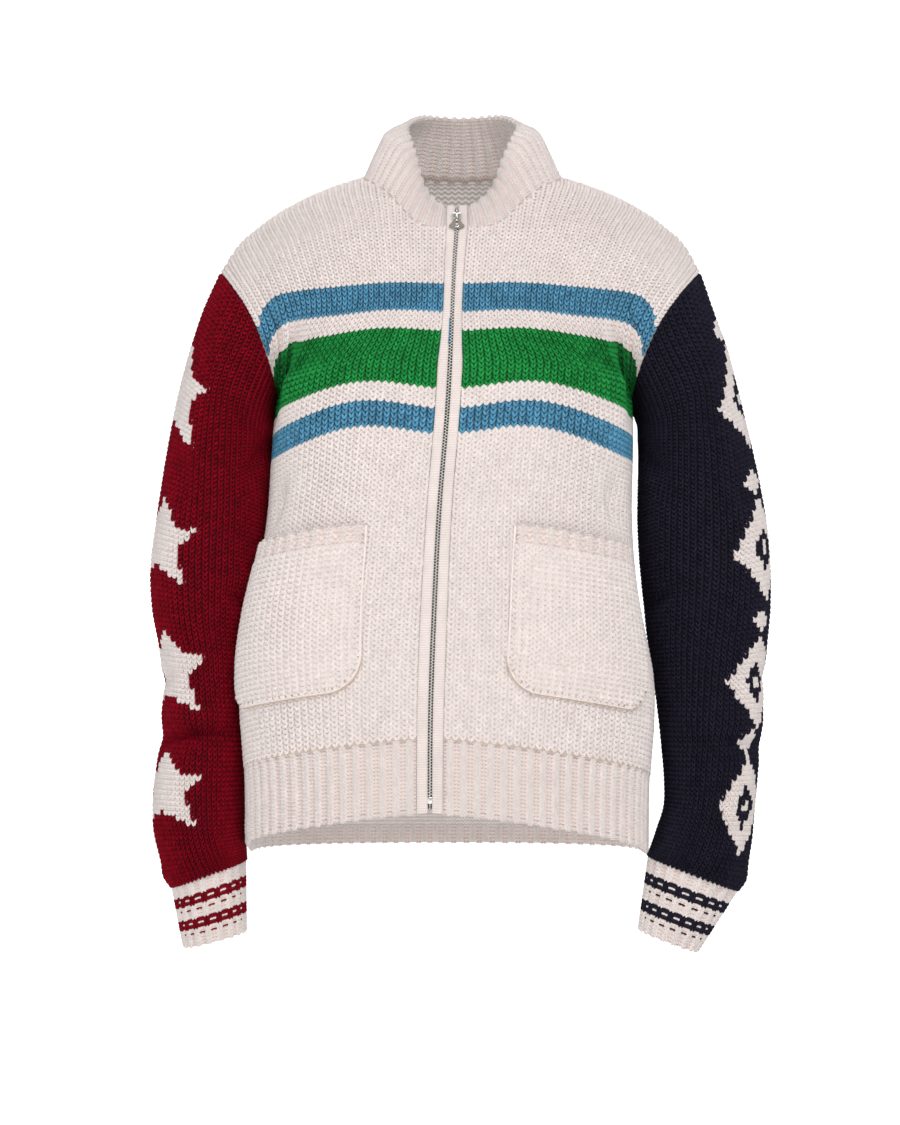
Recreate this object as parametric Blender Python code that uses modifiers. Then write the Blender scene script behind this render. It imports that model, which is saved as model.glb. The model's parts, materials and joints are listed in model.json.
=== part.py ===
"""A worn, chunky-knit zip cardigan, standing open and hollow on a general figure.

Frame: +Z up, the front faces -Y, +X is the wearer's left. The origin lies in the
neck, where the shoulders hold the garment up. Tables and sizes are in millimetres
and become metres when a mesh is made.

The cloth is described by three surfaces. Body cloth is read at a height along the
knitting and a fraction of the way from the centre line to the side. Sleeve cloth is
read at a distance along the sleeve and an angle round it. Collar cloth is read at a
fraction round the neck and a fraction up the collar. Every panel is a wall whose
outer points lie on its surface.
"""

import math
from collections import namedtuple

import bmesh
import bpy
import numpy as np
from mathutils import Matrix

MM = 0.001

# Driving sizes of the knitting, in millimetres.
WALL = 4.0
COLLAR_WALL = 7.0
SEAM_GAP = 0.3
PANEL_HALF_WIDTH = 267.0
HEM_DEPTH = 70.0
HEM_GAP = 0.3
UNDERARM_HEIGHT = 349.0
SHOULDER_HEIGHT = 590.0
RIB_RAISE = 1.3
HEM_PROUD = 0.4
COLLAR_PROUD = 0.6

# The armhole's loop, measured from the body's centre plane.
ARMHOLE_TOP = (234.0, 0.0, -69.0)
ARMHOLE_FOOT = (173.5, 5.0, -200.0)
ARMHOLE_FRONT_DEPTH = 80.0
ARMHOLE_BACK_DEPTH = 78.0
ARMHOLE_FRONT_HOLLOW = 15.0
ARMHOLE_BACK_HOLLOW = 8.0
ARMHOLE_TURN = 0.6
ARMHOLE_LEAN = 0.1
ARMHOLE_SLANT = 0.4
ARMHOLE_NARROW = 1.6
UNDERARM_FALL = 0.12
UNDERARM_FALL_START = 0.72
UNDERARM_FALL_REACH = 35.0
ARMHOLE_THIN = 0.5
ARMHOLE_THIN_FROM = 110.0
ARMHOLE_THIN_OVER = 60.0
SHOULDER_OUT = 0.89
SHOULDER_UP = 0.45
ARMHOLE_GAP = 0.5

# The zip, from the chain's middle outwards.
CHAIN_HALF = 2.2
BAND_INNER = 2.6
BAND_OUTER = 11.85
BAND_RAISE = 0.9
BAND_DEPTH = 3.3
TAPE_INNER = 0.4
TAPE_DEPTH = 0.8
PANEL_INNER = 12.28

# Knitted colours.
CREAM = (0.78, 0.72, 0.67)
BURGUNDY = (0.16, 0.003, 0.014)
NAVY = (0.016, 0.016, 0.028)
SILVER = (0.62, 0.61, 0.58)
METAL = 1.0
POLISH = 0.25
SHARP_EDGE = 35.0

# The centre plane leans: where the body's middle and the zip lie at each height.
LeanRow = namedtuple("LeanRow", "z centre_x zip_x")
LEAN = [
    LeanRow(-630, -8, -24),
    LeanRow(-588, -8, -24),
    LeanRow(-482, -8, -23),
    LeanRow(-400, -9, -20),
    LeanRow(-300, -5, -15),
    LeanRow(-200, -1, -7),
    LeanRow(-140, 1, -4),
    LeanRow(-70, 5, -1),
    LeanRow(-20, 7, 2),
    LeanRow(30, 7, 2),
    LeanRow(100, 4, 2),
]

# Centre-line profile of front and back. A course falls from the centre to the side
# as fraction ** power, and arches up a little on its way.
CentreRow = namedtuple(
    "CentreRow", "height front_z front_y front_power arch back_z back_y back_power square")
CENTRE = [
    CentreRow(-70, -588, -138, 1.4, 0.0, -635, 121, 2.0, 2.45),
    CentreRow(-35, -553, -139, 1.4, 0.0, -599, 122, 2.0, 2.45),
    CentreRow(0, -517, -140, 1.4, 0.0, -563, 123, 2.0, 2.5),
    CentreRow(50, -467, -142, 1.5, 1.0, -511, 124, 2.0, 2.5),
    CentreRow(120, -397, -142, 1.7, 2.0, -437, 121, 2.0, 2.5),
    CentreRow(187, -330, -140, 2.0, 4.0, -367, 116, 2.0, 2.5),
    CentreRow(237, -281, -138, 2.4, 6.0, -314, 114, 2.0, 2.5),
    CentreRow(282, -236, -137, 2.8, 8.0, -268, 116, 2.0, 2.6),
    CentreRow(310, -208, -137, 3.2, 8.5, -240, 119, 2.0, 2.7),
    CentreRow(349, -169, -136, 3.5, 6.0, -200, 124, 2.0, 2.7),
    CentreRow(388, -132, -133, 3.9, 3.0, -160, 129, 2.2, 2.6),
    CentreRow(433, -89, -124, 4.2, 1.5, -114, 130, 2.6, 2.5),
    CentreRow(463, -61, -116, 4.0, 1.0, -83, 127, 2.8, 2.4),
    CentreRow(494, -33, -105, 3.7, 0.0, -51, 119, 3.0, 2.3),
    CentreRow(520, -12, -89, 3.4, 0.0, -23, 109, 3.0, 2.25),
    CentreRow(550, 12, -62, 3.2, 0.0, 9, 94, 3.1, 2.2),
    CentreRow(575, 28, -25, 3.1, 0.0, 33, 78, 3.1, 2.2),
    CentreRow(590, 36, 9, 3.1, 0.0, 44, 62, 3.1, 2.2),
]

# Below the armhole: the side seam and how far the hanging arm presses the body in.
SideRow = namedtuple("SideRow", "height half_width y z twist press")
SIDE = [
    SideRow(-70, 199.5, -2, -634, 5.0, 5.0),
    SideRow(0, 201.0, -2, -560, 5.0, 7.0),
    SideRow(50, 206.0, -2, -507, 5.0, 12.0),
    SideRow(95, 206.0, -1, -460, 4.5, 14.5),
    SideRow(137, 198.0, 0, -416, 4.0, 11.0),
    SideRow(187, 186.0, 1, -364, 3.0, 7.0),
    SideRow(237, 179.5, 2, -312, 2.0, 4.5),
    SideRow(282, 177.5, 3, -267, 1.0, 3.0),
    SideRow(320, 175.5, 4, -229, 0.5, 1.5),
    SideRow(349, 173.5, 5, -200, 0.0, 0.0),
]
ARM_PRESS_Y = 8.0
ARM_PRESS_REACH = 40.0
ARCH_REACH = 0.6

# From the underarm up: where a course meets the armhole, and how far round the
# body's section that is.
ArmholeRow = namedtuple("ArmholeRow", "height angle section")
ARMHOLE = [
    ArmholeRow(349, 180, 90),
    ArmholeRow(366, 150, 84),
    ArmholeRow(388, 129, 77),
    ArmholeRow(407, 111, 69),
    ArmholeRow(433, 89, 60),
    ArmholeRow(463, 66, 51),
    ArmholeRow(494, 45, 44),
    ArmholeRow(520, 31, 40),
    ArmholeRow(550, 16, 37),
    ArmholeRow(575, 6, 35),
    ArmholeRow(590, 0, 35),
]

# The shoulder seam, from the centre plane out to the armhole's top. The neck takes its
# first part.
NECK_SHOULDER = 0.366
RidgeRow = namedtuple("RidgeRow", "fraction x y z")
RIDGE = [
    RidgeRow(0.00, 0, 12, 36),
    RidgeRow(0.25, 66, 12, 32),
    RidgeRow(NECK_SHOULDER, 97, 10, 27),
    RidgeRow(0.46, 120, 9, 20),
    RidgeRow(0.63, 160, 8, 3),
    RidgeRow(0.81, 198, 6, -22),
    RidgeRow(0.94, 222, 2, -47),
    RidgeRow(1.00, 234, 0, -69),
]
RIDGE_BLEND_HEIGHT = 495.0
RIDGE_BLEND_START = 0.2

# Where the neck is cut out of front and back.
NeckRow = namedtuple("NeckRow", "height fraction")
FRONT_NECK = [
    NeckRow(494, PANEL_INNER / PANEL_HALF_WIDTH),
    NeckRow(498, 0.150),
    NeckRow(508, 0.197),
    NeckRow(524, 0.240),
    NeckRow(550, 0.297),
    NeckRow(572, 0.341),
    NeckRow(590, NECK_SHOULDER),
]
BACK_NECK = [
    NeckRow(572, 0.000),
    NeckRow(574, 0.120),
    NeckRow(580, 0.245),
    NeckRow(590, NECK_SHOULDER),
]

# Soft folds that show from a step away: a valley or ridge along the knitting.
FoldRow = namedtuple("FoldRow", "face side low high fraction_low fraction_high width depth")
FOLDS = [
    FoldRow("front", -1, 300, 455, 0.80, 0.83, 0.050, -9.0),
    FoldRow("front", 1, 300, 455, 0.80, 0.83, 0.050, -9.0),
    FoldRow("front", -1, 290, 440, 0.69, 0.70, 0.045, 2.5),
    FoldRow("front", 1, 290, 440, 0.69, 0.70, 0.045, 2.5),
    FoldRow("front", -1, 195, 280, 0.76, 0.60, 0.060, -5.0),
    FoldRow("front", 1, 195, 280, 0.80, 0.66, 0.060, -5.0),
    FoldRow("back", -1, 280, 450, 0.78, 0.82, 0.060, -7.0),
    FoldRow("back", 1, 280, 450, 0.78, 0.82, 0.060, -7.0),
]

# Sleeves: each row is a ring, given by its outer and inner point and its half depth.
RingRow = namedtuple("RingRow", "along outer_x outer_z inner_x inner_z y half_depth")
RIGHT_SLEEVE = [
    RingRow(40, -245, -105, -178.2, -217, 2, 80),
    RingRow(81, -258, -144, -178.5, -234, 3, 79),
    RingRow(127, -270, -188, -179.0, -256, 4, 77),
    RingRow(172, -279, -232, -181.0, -284, 6, 75),
    RingRow(213, -286, -272, -183.0, -314, 8, 74),
    RingRow(252, -292, -311, -186.5, -345, 10, 73),
    RingRow(306, -298, -365, -192.0, -388, 12, 72),
    RingRow(340, -296, -399, -198.0, -417, 13, 70),
    RingRow(380, -289, -438, -201.0, -450, 14, 67),
    RingRow(419, -286, -477, -203.0, -486, 13, 65),
    RingRow(459, -286, -517, -203.5, -522, 12, 63),
    RingRow(488, -291, -546, -205.0, -550, 10, 63),
    RingRow(527, -295, -585, -207.0, -586, 7, 63),
    RingRow(557, -294, -615, -208.0, -612, 4, 62),
    RingRow(587, -286, -645, -206.0, -631, 2, 57),
    RingRow(613, -276, -668, -205.0, -643, 0, 49),
]
RIGHT_CUFF_END = RingRow(673, -266, -727, -204.0, -711, -4, 41)
LEFT_SLEEVE = [
    RingRow(38, 252, -107, 179.5, -217, 2, 80),
    RingRow(79, 266, -146, 180.5, -234, 3, 79),
    RingRow(122, 277, -188, 181.0, -256, 4, 77),
    RingRow(168, 288, -232, 180.5, -284, 6, 76),
    RingRow(209, 297, -272, 180.5, -314, 8, 75),
    RingRow(249, 304, -311, 182.0, -345, 9, 74),
    RingRow(303, 308.5, -365, 186.0, -388, 10, 73),
    RingRow(337, 308, -399, 189.0, -417, 10, 71),
    RingRow(376, 304.5, -438, 193.5, -450, 10, 68),
    RingRow(425, 301, -487, 199.5, -491, 9, 65),
    RingRow(468, 298, -530, 204.0, -533, 8, 63),
    RingRow(503, 295, -565, 206.5, -565, 6, 62),
    RingRow(533, 292, -595, 206.0, -591, 4, 62),
    RingRow(563, 289, -625, 199.0, -613, 1, 61),
    RingRow(588, 284, -650, 193.0, -630, -1, 57),
    RingRow(610, 275, -671, 189.0, -639, -3, 50),
]
LEFT_CUFF_END = RingRow(676, 238, -731, 179.0, -709, -8, 38)
RING_SQUARE = 2.15

# Collar: from the seam each point leans in towards the neck's axis and rises.
CollarRow = namedtuple("CollarRow", "fraction inward rise")
COLLAR = [
    CollarRow(0.00, 37, 23),
    CollarRow(0.06, 37, 28),
    CollarRow(0.12, 37, 37),
    CollarRow(0.20, 36, 47),
    CollarRow(0.28, 35, 53),
    CollarRow(0.40, 27, 57),
    CollarRow(0.50, 22, 58),
]
NECK_AXIS = (5.0, 4.0)

# How far the collar stands off the straight way from its seam to its top: everywhere,
# and more at its sides, where it rolls.
SwellRow = namedtuple("SwellRow", "share everywhere sides")
COLLAR_SWELL = [
    SwellRow(0.00, 0.0, 0.0),
    SwellRow(0.40, 2.5, 4.0),
    SwellRow(0.80, 2.0, 6.5),
    SwellRow(1.00, 0.0, 0.0),
]
COLLAR_STRAIGHT = 0.09
COLLAR_TURN = 2.0
COLLAR_GAP = 0.9
COLLAR_EVEN = 15

# Ribs are counted in repeats of two raised and two sunk wales.
HEM_RIBS = 84
COLLAR_RIBS = 43
CUFF_RIBS = 19
CUFF_GAP = 0.5
POCKET_RIBS = 11

# Patch pockets, in fractions across the front and heights along the knitting.
POCKET_INNER_RIGHT = 0.235
POCKET_INNER_LEFT = 0.255
POCKET_LEAN = 0.020
POCKET_OUTER = 0.800
POCKET_FOOT = 50.0
POCKET_MOUTH = 199.0
POCKET_CORNER = 30.0
POCKET_RIB_DEPTH = 19.0
POCKET_WALL = 3.5
POCKET_LIFT = 0.8
POCKET_BULGE = 9.5
POCKET_RIB_SHARE = 0.6
POCKET_BELLY = 0.75
POCKET_GAPE = 1.2
POCKET_LEVELS = (0.0, 0.22, 0.45, 0.68, 0.88, 1.0)

# The zip's stop, slider and pull. Slider sizes run along the chain, across and out.
STOP_HEIGHTS = (-61.0, -54.8)
STOP_SIZE = (4.5, 2.8)
STOP_ROUND = 0.5
STOP_PROUD = 0.3
CHAIN_FOOT = -54.3
BAND_STEP = 0.02
TAPE_REACH = 0.96
TAPE_FOOT = -66.0
CHAIN_RAISE = 0.2
CHAIN_DEPTH = 2.6
SLIDER_PLACE = 0.27
SLIDER_LENGTH = 10.5
SLIDER_WIDTH = 9.6
SLIDER_DEPTH = 4.2
SLIDER_TAPER = 0.72
SLIDER_ROUND = 1.3
SLIDER_REACH = 0.1
BRIDGE_HALF = 4.7
BRIDGE_RISE = 4.3
BRIDGE_WIDTH = 1.2
BRIDGE_SQUARE = 0.6
BRIDGE_ROOT = 1.5
BRIDGE_POINTS = 9
PIVOT_ALONG = -2.4
PIVOT_RISE = 1.5
PULL_DIP = 20.0
PULL_THICKNESS = 1.0
PullRow = namedtuple("PullRow", "along half_width")
PULL_OUTLINE = [
    PullRow(-0.5, 2.2),
    PullRow(3.8, 2.5),
    PullRow(6.0, 3.4),
    PullRow(9.0, 5.0),
    PullRow(11.8, 7.4),
    PullRow(13.0, 7.3),
    PullRow(14.6, 4.6),
    PullRow(15.6, 1.8),
]
PULL_SLOT = (0.5, 4.0, 1.1)
PULL_EYE = (8.6, 1.2)
PULL_EYE_POINTS = 12

# Rows and columns of the panels' grids.
SHARED_HEIGHTS = [0, 28, 50, 74, 100, 126, 154, 181, 207, 236, 265, 293, 322, 349,
                  366, 384, 404, 426, 448, 472, 494, 508, 524, 548, 572, 590]
FRONT_COLUMNS = [0.046, 0.15, 0.255, 0.33, 0.41, 0.49, 0.57, 0.65, 0.725, 0.80, 0.87, 0.935, 1.0]
BACK_COLUMNS = [0.0, 0.12, 0.245, NECK_SHOULDER, 0.47, 0.57, 0.67, 0.77, 0.86, 0.935, 1.0]
BACK_NECK_BLEND = 520.0
SLEEVE_PLACES = [0, 14, 36, 66, 102, 145, 192, 242, 295, 350, 405, 460, 513, 560, 590, 1000]
TABLE_LEVELS = 330
BODY_LEVEL_SHARE = 0.62
TABLE_STEPS = 160
TABLE_TURNS = 240
SLEEVE_BLEND = 95.0


# --------------------------------------------------------------------------
# Reading tables


def column(rows, name):
    """One named column of a table, as an array."""
    return np.array([getattr(row, name) for row in rows], float)


def smooth(rows, by, name, where):
    """Read a column anywhere, on a cubic that passes through every row."""
    knots, values = column(rows, by), column(rows, name)
    slopes = np.gradient(values, knots)
    low = np.clip(np.searchsorted(knots, where) - 1, 0, len(knots) - 2)
    step = knots[low + 1] - knots[low]
    t = np.clip((where - knots[low]) / step, 0.0, 1.0)
    start, end = (1 + 2 * t) * (1 - t) ** 2, t * t * (3 - 2 * t)
    leave, arrive = t * (1 - t) ** 2 * step, t * t * (t - 1) * step
    return (values[low] * start + values[low + 1] * end
            + slopes[low] * leave + slopes[low + 1] * arrive)


def ease(value):
    """Rise smoothly from 0 to 1 as the value does."""
    value = np.clip(value, 0.0, 1.0)
    return value * value * (3 - 2 * value)


def signed_power(value, power):
    """Raise a magnitude to a power and keep its sign."""
    return np.sign(value) * np.abs(value) ** power


def unit(vectors):
    """Scale vectors along the last axis to length one."""
    return vectors / np.maximum(np.linalg.norm(vectors, axis=-1, keepdims=True), 1e-9)


# --------------------------------------------------------------------------
# The body's surface


def armhole_point(side, front, angle):
    """A point of the armhole's loop; the angle runs from its top (0) to its foot (180)."""
    angle = np.radians(angle)
    top, foot = np.array(ARMHOLE_TOP), np.array(ARMHOLE_FOOT)
    middle, arm = (top + foot) / 2, (top - foot) / 2
    depth = -ARMHOLE_FRONT_DEPTH if front else ARMHOLE_BACK_DEPTH
    hollow = ARMHOLE_FRONT_HOLLOW if front else ARMHOLE_BACK_HOLLOW
    narrow = 1 + ARMHOLE_NARROW * np.maximum(-np.cos(angle), 0)
    x = middle[0] + arm[0] * np.cos(angle) - hollow * np.sin(angle) ** 2
    y = middle[1] + arm[1] * np.cos(angle) + depth * np.abs(np.sin(angle)) ** narrow
    z = middle[2] + arm[2] * np.cos(angle)
    return side * x, y, z


def armhole_direction(side, front, angle):
    """The way the seam's wall faces: up and out at the top, fore or aft, down at the foot."""
    angle = np.radians(angle)
    upper, lower = np.maximum(np.cos(angle), 0), np.maximum(-np.cos(angle), 0)
    out = np.stack([side * (SHOULDER_OUT * upper + ARMHOLE_LEAN * lower),
                    (-1.0 if front else 1.0) * np.sin(angle),
                    SHOULDER_UP * upper - lower], axis=-1)
    return unit(out)


def armhole_wall(angle):
    """Thickness at the armhole's seam, thinner where front and back meet under the arm."""
    return WALL * (1 - ARMHOLE_THIN * ease((angle - ARMHOLE_THIN_FROM) / ARMHOLE_THIN_OVER))


def section_table(side, front):
    """Points of one quarter of the body, by height along the knitting and fraction across.

    Each level is an arc of a squared-off ellipse, |x/a|^n + |y/b|^n = 1, from the zip
    line (or the middle of the back) round to the side seam or to the armhole's edge.
    """
    body_levels = int(TABLE_LEVELS * BODY_LEVEL_SHARE)
    heights = np.concatenate([
        np.linspace(-HEM_DEPTH, UNDERARM_HEIGHT, body_levels),
        np.linspace(UNDERARM_HEIGHT, SHOULDER_HEIGHT, TABLE_LEVELS - body_levels + 1)[1:],
    ])
    name = "front" if front else "back"
    middle_z = smooth(CENTRE, "height", name + "_z", heights)
    middle_y = smooth(CENTRE, "height", name + "_y", heights)
    power = smooth(CENTRE, "height", name + "_power", heights)
    square = 2.0 / smooth(CENTRE, "height", "square", heights)
    arch = smooth(CENTRE, "height", "arch", heights) if front else np.zeros_like(heights)

    upper = heights >= UNDERARM_HEIGHT
    high = np.maximum(heights, UNDERARM_HEIGHT)
    angle = smooth(ARMHOLE, "height", "angle", high)
    seam_x, seam_y, seam_z = armhole_point(1, front, angle)
    end = np.where(upper, smooth(ARMHOLE, "height", "section", high), 90.0)
    end_sin = np.sin(np.radians(end)) ** square
    end_cos = np.maximum(np.cos(np.radians(end)), 0) ** square

    low = np.minimum(heights, UNDERARM_HEIGHT)
    side_y = smooth(SIDE, "height", "y", low)
    half_width = np.where(upper, seam_x / end_sin, smooth(SIDE, "height", "half_width", low))
    centre_y = np.where(upper, middle_y + (seam_y - middle_y) / (1 - end_cos), side_y)
    half_depth = (centre_y - middle_y) * (1 if front else -1)
    other = smooth(CENTRE, "height", ("back" if front else "front") + "_y", heights)
    other_depth = np.where(upper, half_depth, np.abs(other - side_y))
    edge_z = np.where(upper, seam_z, smooth(SIDE, "height", "z", low))
    twist = np.where(upper, 0.0, smooth(SIDE, "height", "twist", low)) * (-side if front else side)
    last = end + twist
    press = np.where(upper, 0.0, smooth(SIDE, "height", "press", low))

    centre_x = smooth(LEAN, "z", "centre_x", middle_z)
    zip_x = smooth(LEAN, "z", "zip_x", middle_z)
    start_sin = side * (zip_x - centre_x) / half_width if front else np.zeros_like(heights)
    first = np.degrees(np.arcsin(signed_power(start_sin, 1 / square)))

    steps = np.linspace(0.0, 1.0, TABLE_STEPS)
    turn = np.radians(first[:, None] + (last - first)[:, None] * steps[None, :])
    shape = square[:, None]
    x = half_width[:, None] * signed_power(np.sin(turn), shape)
    cos = signed_power(np.cos(turn), shape)
    depth = np.where(cos >= 0, half_depth[:, None], other_depth[:, None])
    y = centre_y[:, None] + (-1 if front else 1) * depth * cos
    x = x - press[:, None] * np.exp(-((y - ARM_PRESS_Y) / ARM_PRESS_REACH) ** 2) * np.sin(turn)

    step = np.hypot(np.diff(x, axis=1), np.diff(y, axis=1))
    walked = np.concatenate([np.zeros((len(heights), 1)), np.cumsum(step, axis=1)], axis=1)
    walked /= walked[:, -1:]
    x = np.stack([np.interp(steps, walk, row) for walk, row in zip(walked, x)])
    y = np.stack([np.interp(steps, walk, row) for walk, row in zip(walked, y)])
    near = np.clip((steps - UNDERARM_FALL_START) / (1 - UNDERARM_FALL_START), 0, 1)
    about = np.exp(-((heights - UNDERARM_HEIGHT) / UNDERARM_FALL_REACH) ** 2)
    fall = steps[None, :] ** power[:, None]
    fall += UNDERARM_FALL * np.sin(np.pi * near)[None, :] ** 2 * about[:, None]
    z = middle_z[:, None] + (edge_z - middle_z)[:, None] * fall
    z = z + arch[:, None] * np.sin(np.pi * np.clip(steps / ARCH_REACH, 0, 1))[None, :] ** 2
    x = side * x + smooth(LEAN, "z", "centre_x", z)
    points = np.stack([x, y, z], axis=-1)

    ridge = np.stack([side * smooth(RIDGE, "fraction", "x", steps),
                      smooth(RIDGE, "fraction", "y", steps),
                      smooth(RIDGE, "fraction", "z", steps)], axis=-1)
    ridge[:, 0] += smooth(LEAN, "z", "centre_x", ridge[:, 2])
    reach = ease((heights - RIDGE_BLEND_HEIGHT) / (SHOULDER_HEIGHT - RIDGE_BLEND_HEIGHT))
    spread = ease((steps - RIDGE_BLEND_START) / (NECK_SHOULDER - RIDGE_BLEND_START))
    points = points + (reach[:, None] * spread[None, :])[..., None] * (ridge - points[-1])[None]
    return heights, steps, points


def add_folds(face, side, heights, steps, points, normals):
    """Push the surface in or out along each fold that lies on this quarter."""
    for fold in FOLDS:
        if fold.face != face or fold.side != side:
            continue
        along = (heights - fold.low) / (fold.high - fold.low)
        centre = fold.fraction_low + (fold.fraction_high - fold.fraction_low) * along
        fade = np.sin(np.pi * np.clip(along, 0, 1)) ** 2
        across = np.exp(-((steps[None, :] - centre[:, None]) / fold.width) ** 2)
        points = points + (fold.depth * fade[:, None] * across)[..., None] * normals
    return points


def grid_normals(points, flip):
    """Unit normals of a dense grid of points from its two directions of travel."""
    up = np.gradient(points, axis=0)
    across = np.gradient(points, axis=1)
    return unit(np.cross(across, up)) * (-1 if flip else 1)


class Cloth:
    """A surface known on a dense grid, read anywhere between its points."""

    def __init__(self, rows, columns, points, normals):
        self.rows, self.columns = rows, columns
        self.points, self.normals = points, normals

    def read(self, grid, row, col):
        """Blend the four grid values round each place."""
        row, col = np.broadcast_arrays(np.asarray(row, float), np.asarray(col, float))
        i = np.clip(np.searchsorted(self.rows, row) - 1, 0, len(self.rows) - 2)
        j = np.clip(np.searchsorted(self.columns, col) - 1, 0, len(self.columns) - 2)
        u = ((row - self.rows[i]) / (self.rows[i + 1] - self.rows[i]))[..., None]
        v = ((col - self.columns[j]) / (self.columns[j + 1] - self.columns[j]))[..., None]
        return ((grid[i, j] * (1 - v) + grid[i, j + 1] * v) * (1 - u)
                + (grid[i + 1, j] * (1 - v) + grid[i + 1, j + 1] * v) * u)

    def at(self, row, col):
        """Points and unit normals at rows and columns."""
        return self.read(self.points, row, col), unit(self.read(self.normals, row, col))


def body_cloth(side, front):
    """One quarter of the body as a readable surface, folds included."""
    heights, steps, points = section_table(side, front)
    flip = (side < 0) == front
    normals = grid_normals(points, flip)
    points = add_folds("front" if front else "back", side, heights, steps, points, normals)
    return Cloth(heights, steps, points, normals)


# --------------------------------------------------------------------------
# Walls


def index_faces(rows, columns, offset, closed, flip):
    """Quads of a grid of rows by columns, numbered from an offset."""
    last = columns if closed else columns - 1
    i, j = np.meshgrid(np.arange(rows - 1), np.arange(last), indexing="ij")
    k = (j + 1) % columns
    low, high = i * columns, (i + 1) * columns
    quads = np.stack([low + j, low + k, high + k, high + j], axis=-1).reshape(-1, 4) + offset
    return quads[:, ::-1] if flip else quads


def rim_faces(loop, offset, closed):
    """Quads that join an edge of the outer grid to its twin in the inner grid."""
    following = np.roll(loop, -1)
    quads = np.stack([loop, following, following + offset, loop + offset], axis=-1)
    return quads if closed else quads[:-1]


def make_wall(name, outer, inner, colour, closed=False):
    """A closed solid between a grid of outer points and its inner twin."""
    rows, columns = outer.shape[:2]
    count = rows * columns
    grid = np.arange(count).reshape(rows, columns)
    faces = [index_faces(rows, columns, 0, closed, False),
             index_faces(rows, columns, count, closed, True)]
    if closed:
        faces += [rim_faces(grid[0], count, True), rim_faces(grid[-1], count, True)]
    else:
        border = np.concatenate([grid[0, :-1], grid[:-1, -1], grid[-1, :0:-1], grid[:0:-1, 0]])
        faces.append(rim_faces(border, count, True))
    points = np.concatenate([outer.reshape(-1, 3), inner.reshape(-1, 3)]) * MM
    mesh = bpy.data.meshes.new(name)
    mesh.from_pydata(points.tolist(), [], np.concatenate(faces).tolist())
    return finish_mesh(name, mesh, colour)


def finish_mesh(name, mesh, colour, metallic=0.0, roughness=0.9):
    """Turn the faces outwards, shade smooth, add the material and link the object."""
    shape = bmesh.new()
    shape.from_mesh(mesh)
    bmesh.ops.recalc_face_normals(shape, faces=shape.faces)
    shape.to_mesh(mesh)
    shape.free()
    mesh.shade_smooth()
    mesh.set_sharp_from_angle(angle=math.radians(SHARP_EDGE))
    mesh.materials.append(plain_material(name, colour, metallic, roughness))
    item = bpy.data.objects.new(name, mesh)
    collection().objects.link(item)
    return item


def plain_material(name, colour, metallic, roughness):
    """A Principled material of one colour."""
    material = bpy.data.materials.new(name)
    material.use_nodes = True
    shader = material.node_tree.nodes["Principled BSDF"]
    shader.inputs["Base Color"].default_value = (*colour, 1.0)
    shader.inputs["Metallic"].default_value = metallic
    shader.inputs["Roughness"].default_value = roughness
    return material


def collection():
    """The collection that holds the cardigan's pieces."""
    found = bpy.data.collections.get("cardigan")
    if found is None:
        found = bpy.data.collections.new("cardigan")
        bpy.context.scene.collection.children.link(found)
    return found


def between(places, knots, points):
    """Points on the straight runs between known points, at places among their knots."""
    return np.stack([np.interp(places, knots, points[:, k]) for k in range(3)], axis=-1)


def along_edge(edge, places):
    """Read an edge's points at fractions of its length, on its own straight runs."""
    steps = np.linalg.norm(np.diff(edge, axis=0), axis=1)
    walked = np.concatenate([[0.0], np.cumsum(steps)]) / steps.sum()
    return between(places, walked, edge), walked


def rib_profile(repeats, closed):
    """Fractions round a band and the raise at each: two columns up, one down, a repeat."""
    count = repeats * 3
    places = np.arange(count if closed else count + 1) / count
    raised = np.where(np.arange(len(places)) % 3 == 0, -RIB_RAISE, RIB_RAISE)
    return places, raised


# --------------------------------------------------------------------------
# Panels


def front_places():
    """Heights and fractions of a front's grid; above the neck's foot a row starts at its edge."""
    heights = np.array(SHARED_HEIGHTS, float)
    base = np.array(FRONT_COLUMNS)
    start = np.interp(heights, column(FRONT_NECK, "height"), column(FRONT_NECK, "fraction"))
    share = (base - base[0]) / (1 - base[0])
    spread = start[:, None] + (1 - start[:, None]) * share[None, :]
    fractions = np.where((heights <= FRONT_NECK[0].height)[:, None], base[None, :], spread)
    return np.broadcast_to(heights[:, None], fractions.shape), fractions


def back_places():
    """Heights and fractions of half the back's grid; the top rows sink into the neck."""
    heights = np.array(SHARED_HEIGHTS, float)[:, None]
    fractions = np.array(BACK_COLUMNS)[None, :]
    top = np.interp(fractions, column(BACK_NECK, "fraction"), column(BACK_NECK, "height"))
    lift = (top - BACK_NECK_BLEND) / (SHOULDER_HEIGHT - BACK_NECK_BLEND)
    sunk = BACK_NECK_BLEND + (heights - BACK_NECK_BLEND) * lift
    return np.where(heights > BACK_NECK_BLEND, sunk, heights + 0 * fractions), fractions + 0 * heights


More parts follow.
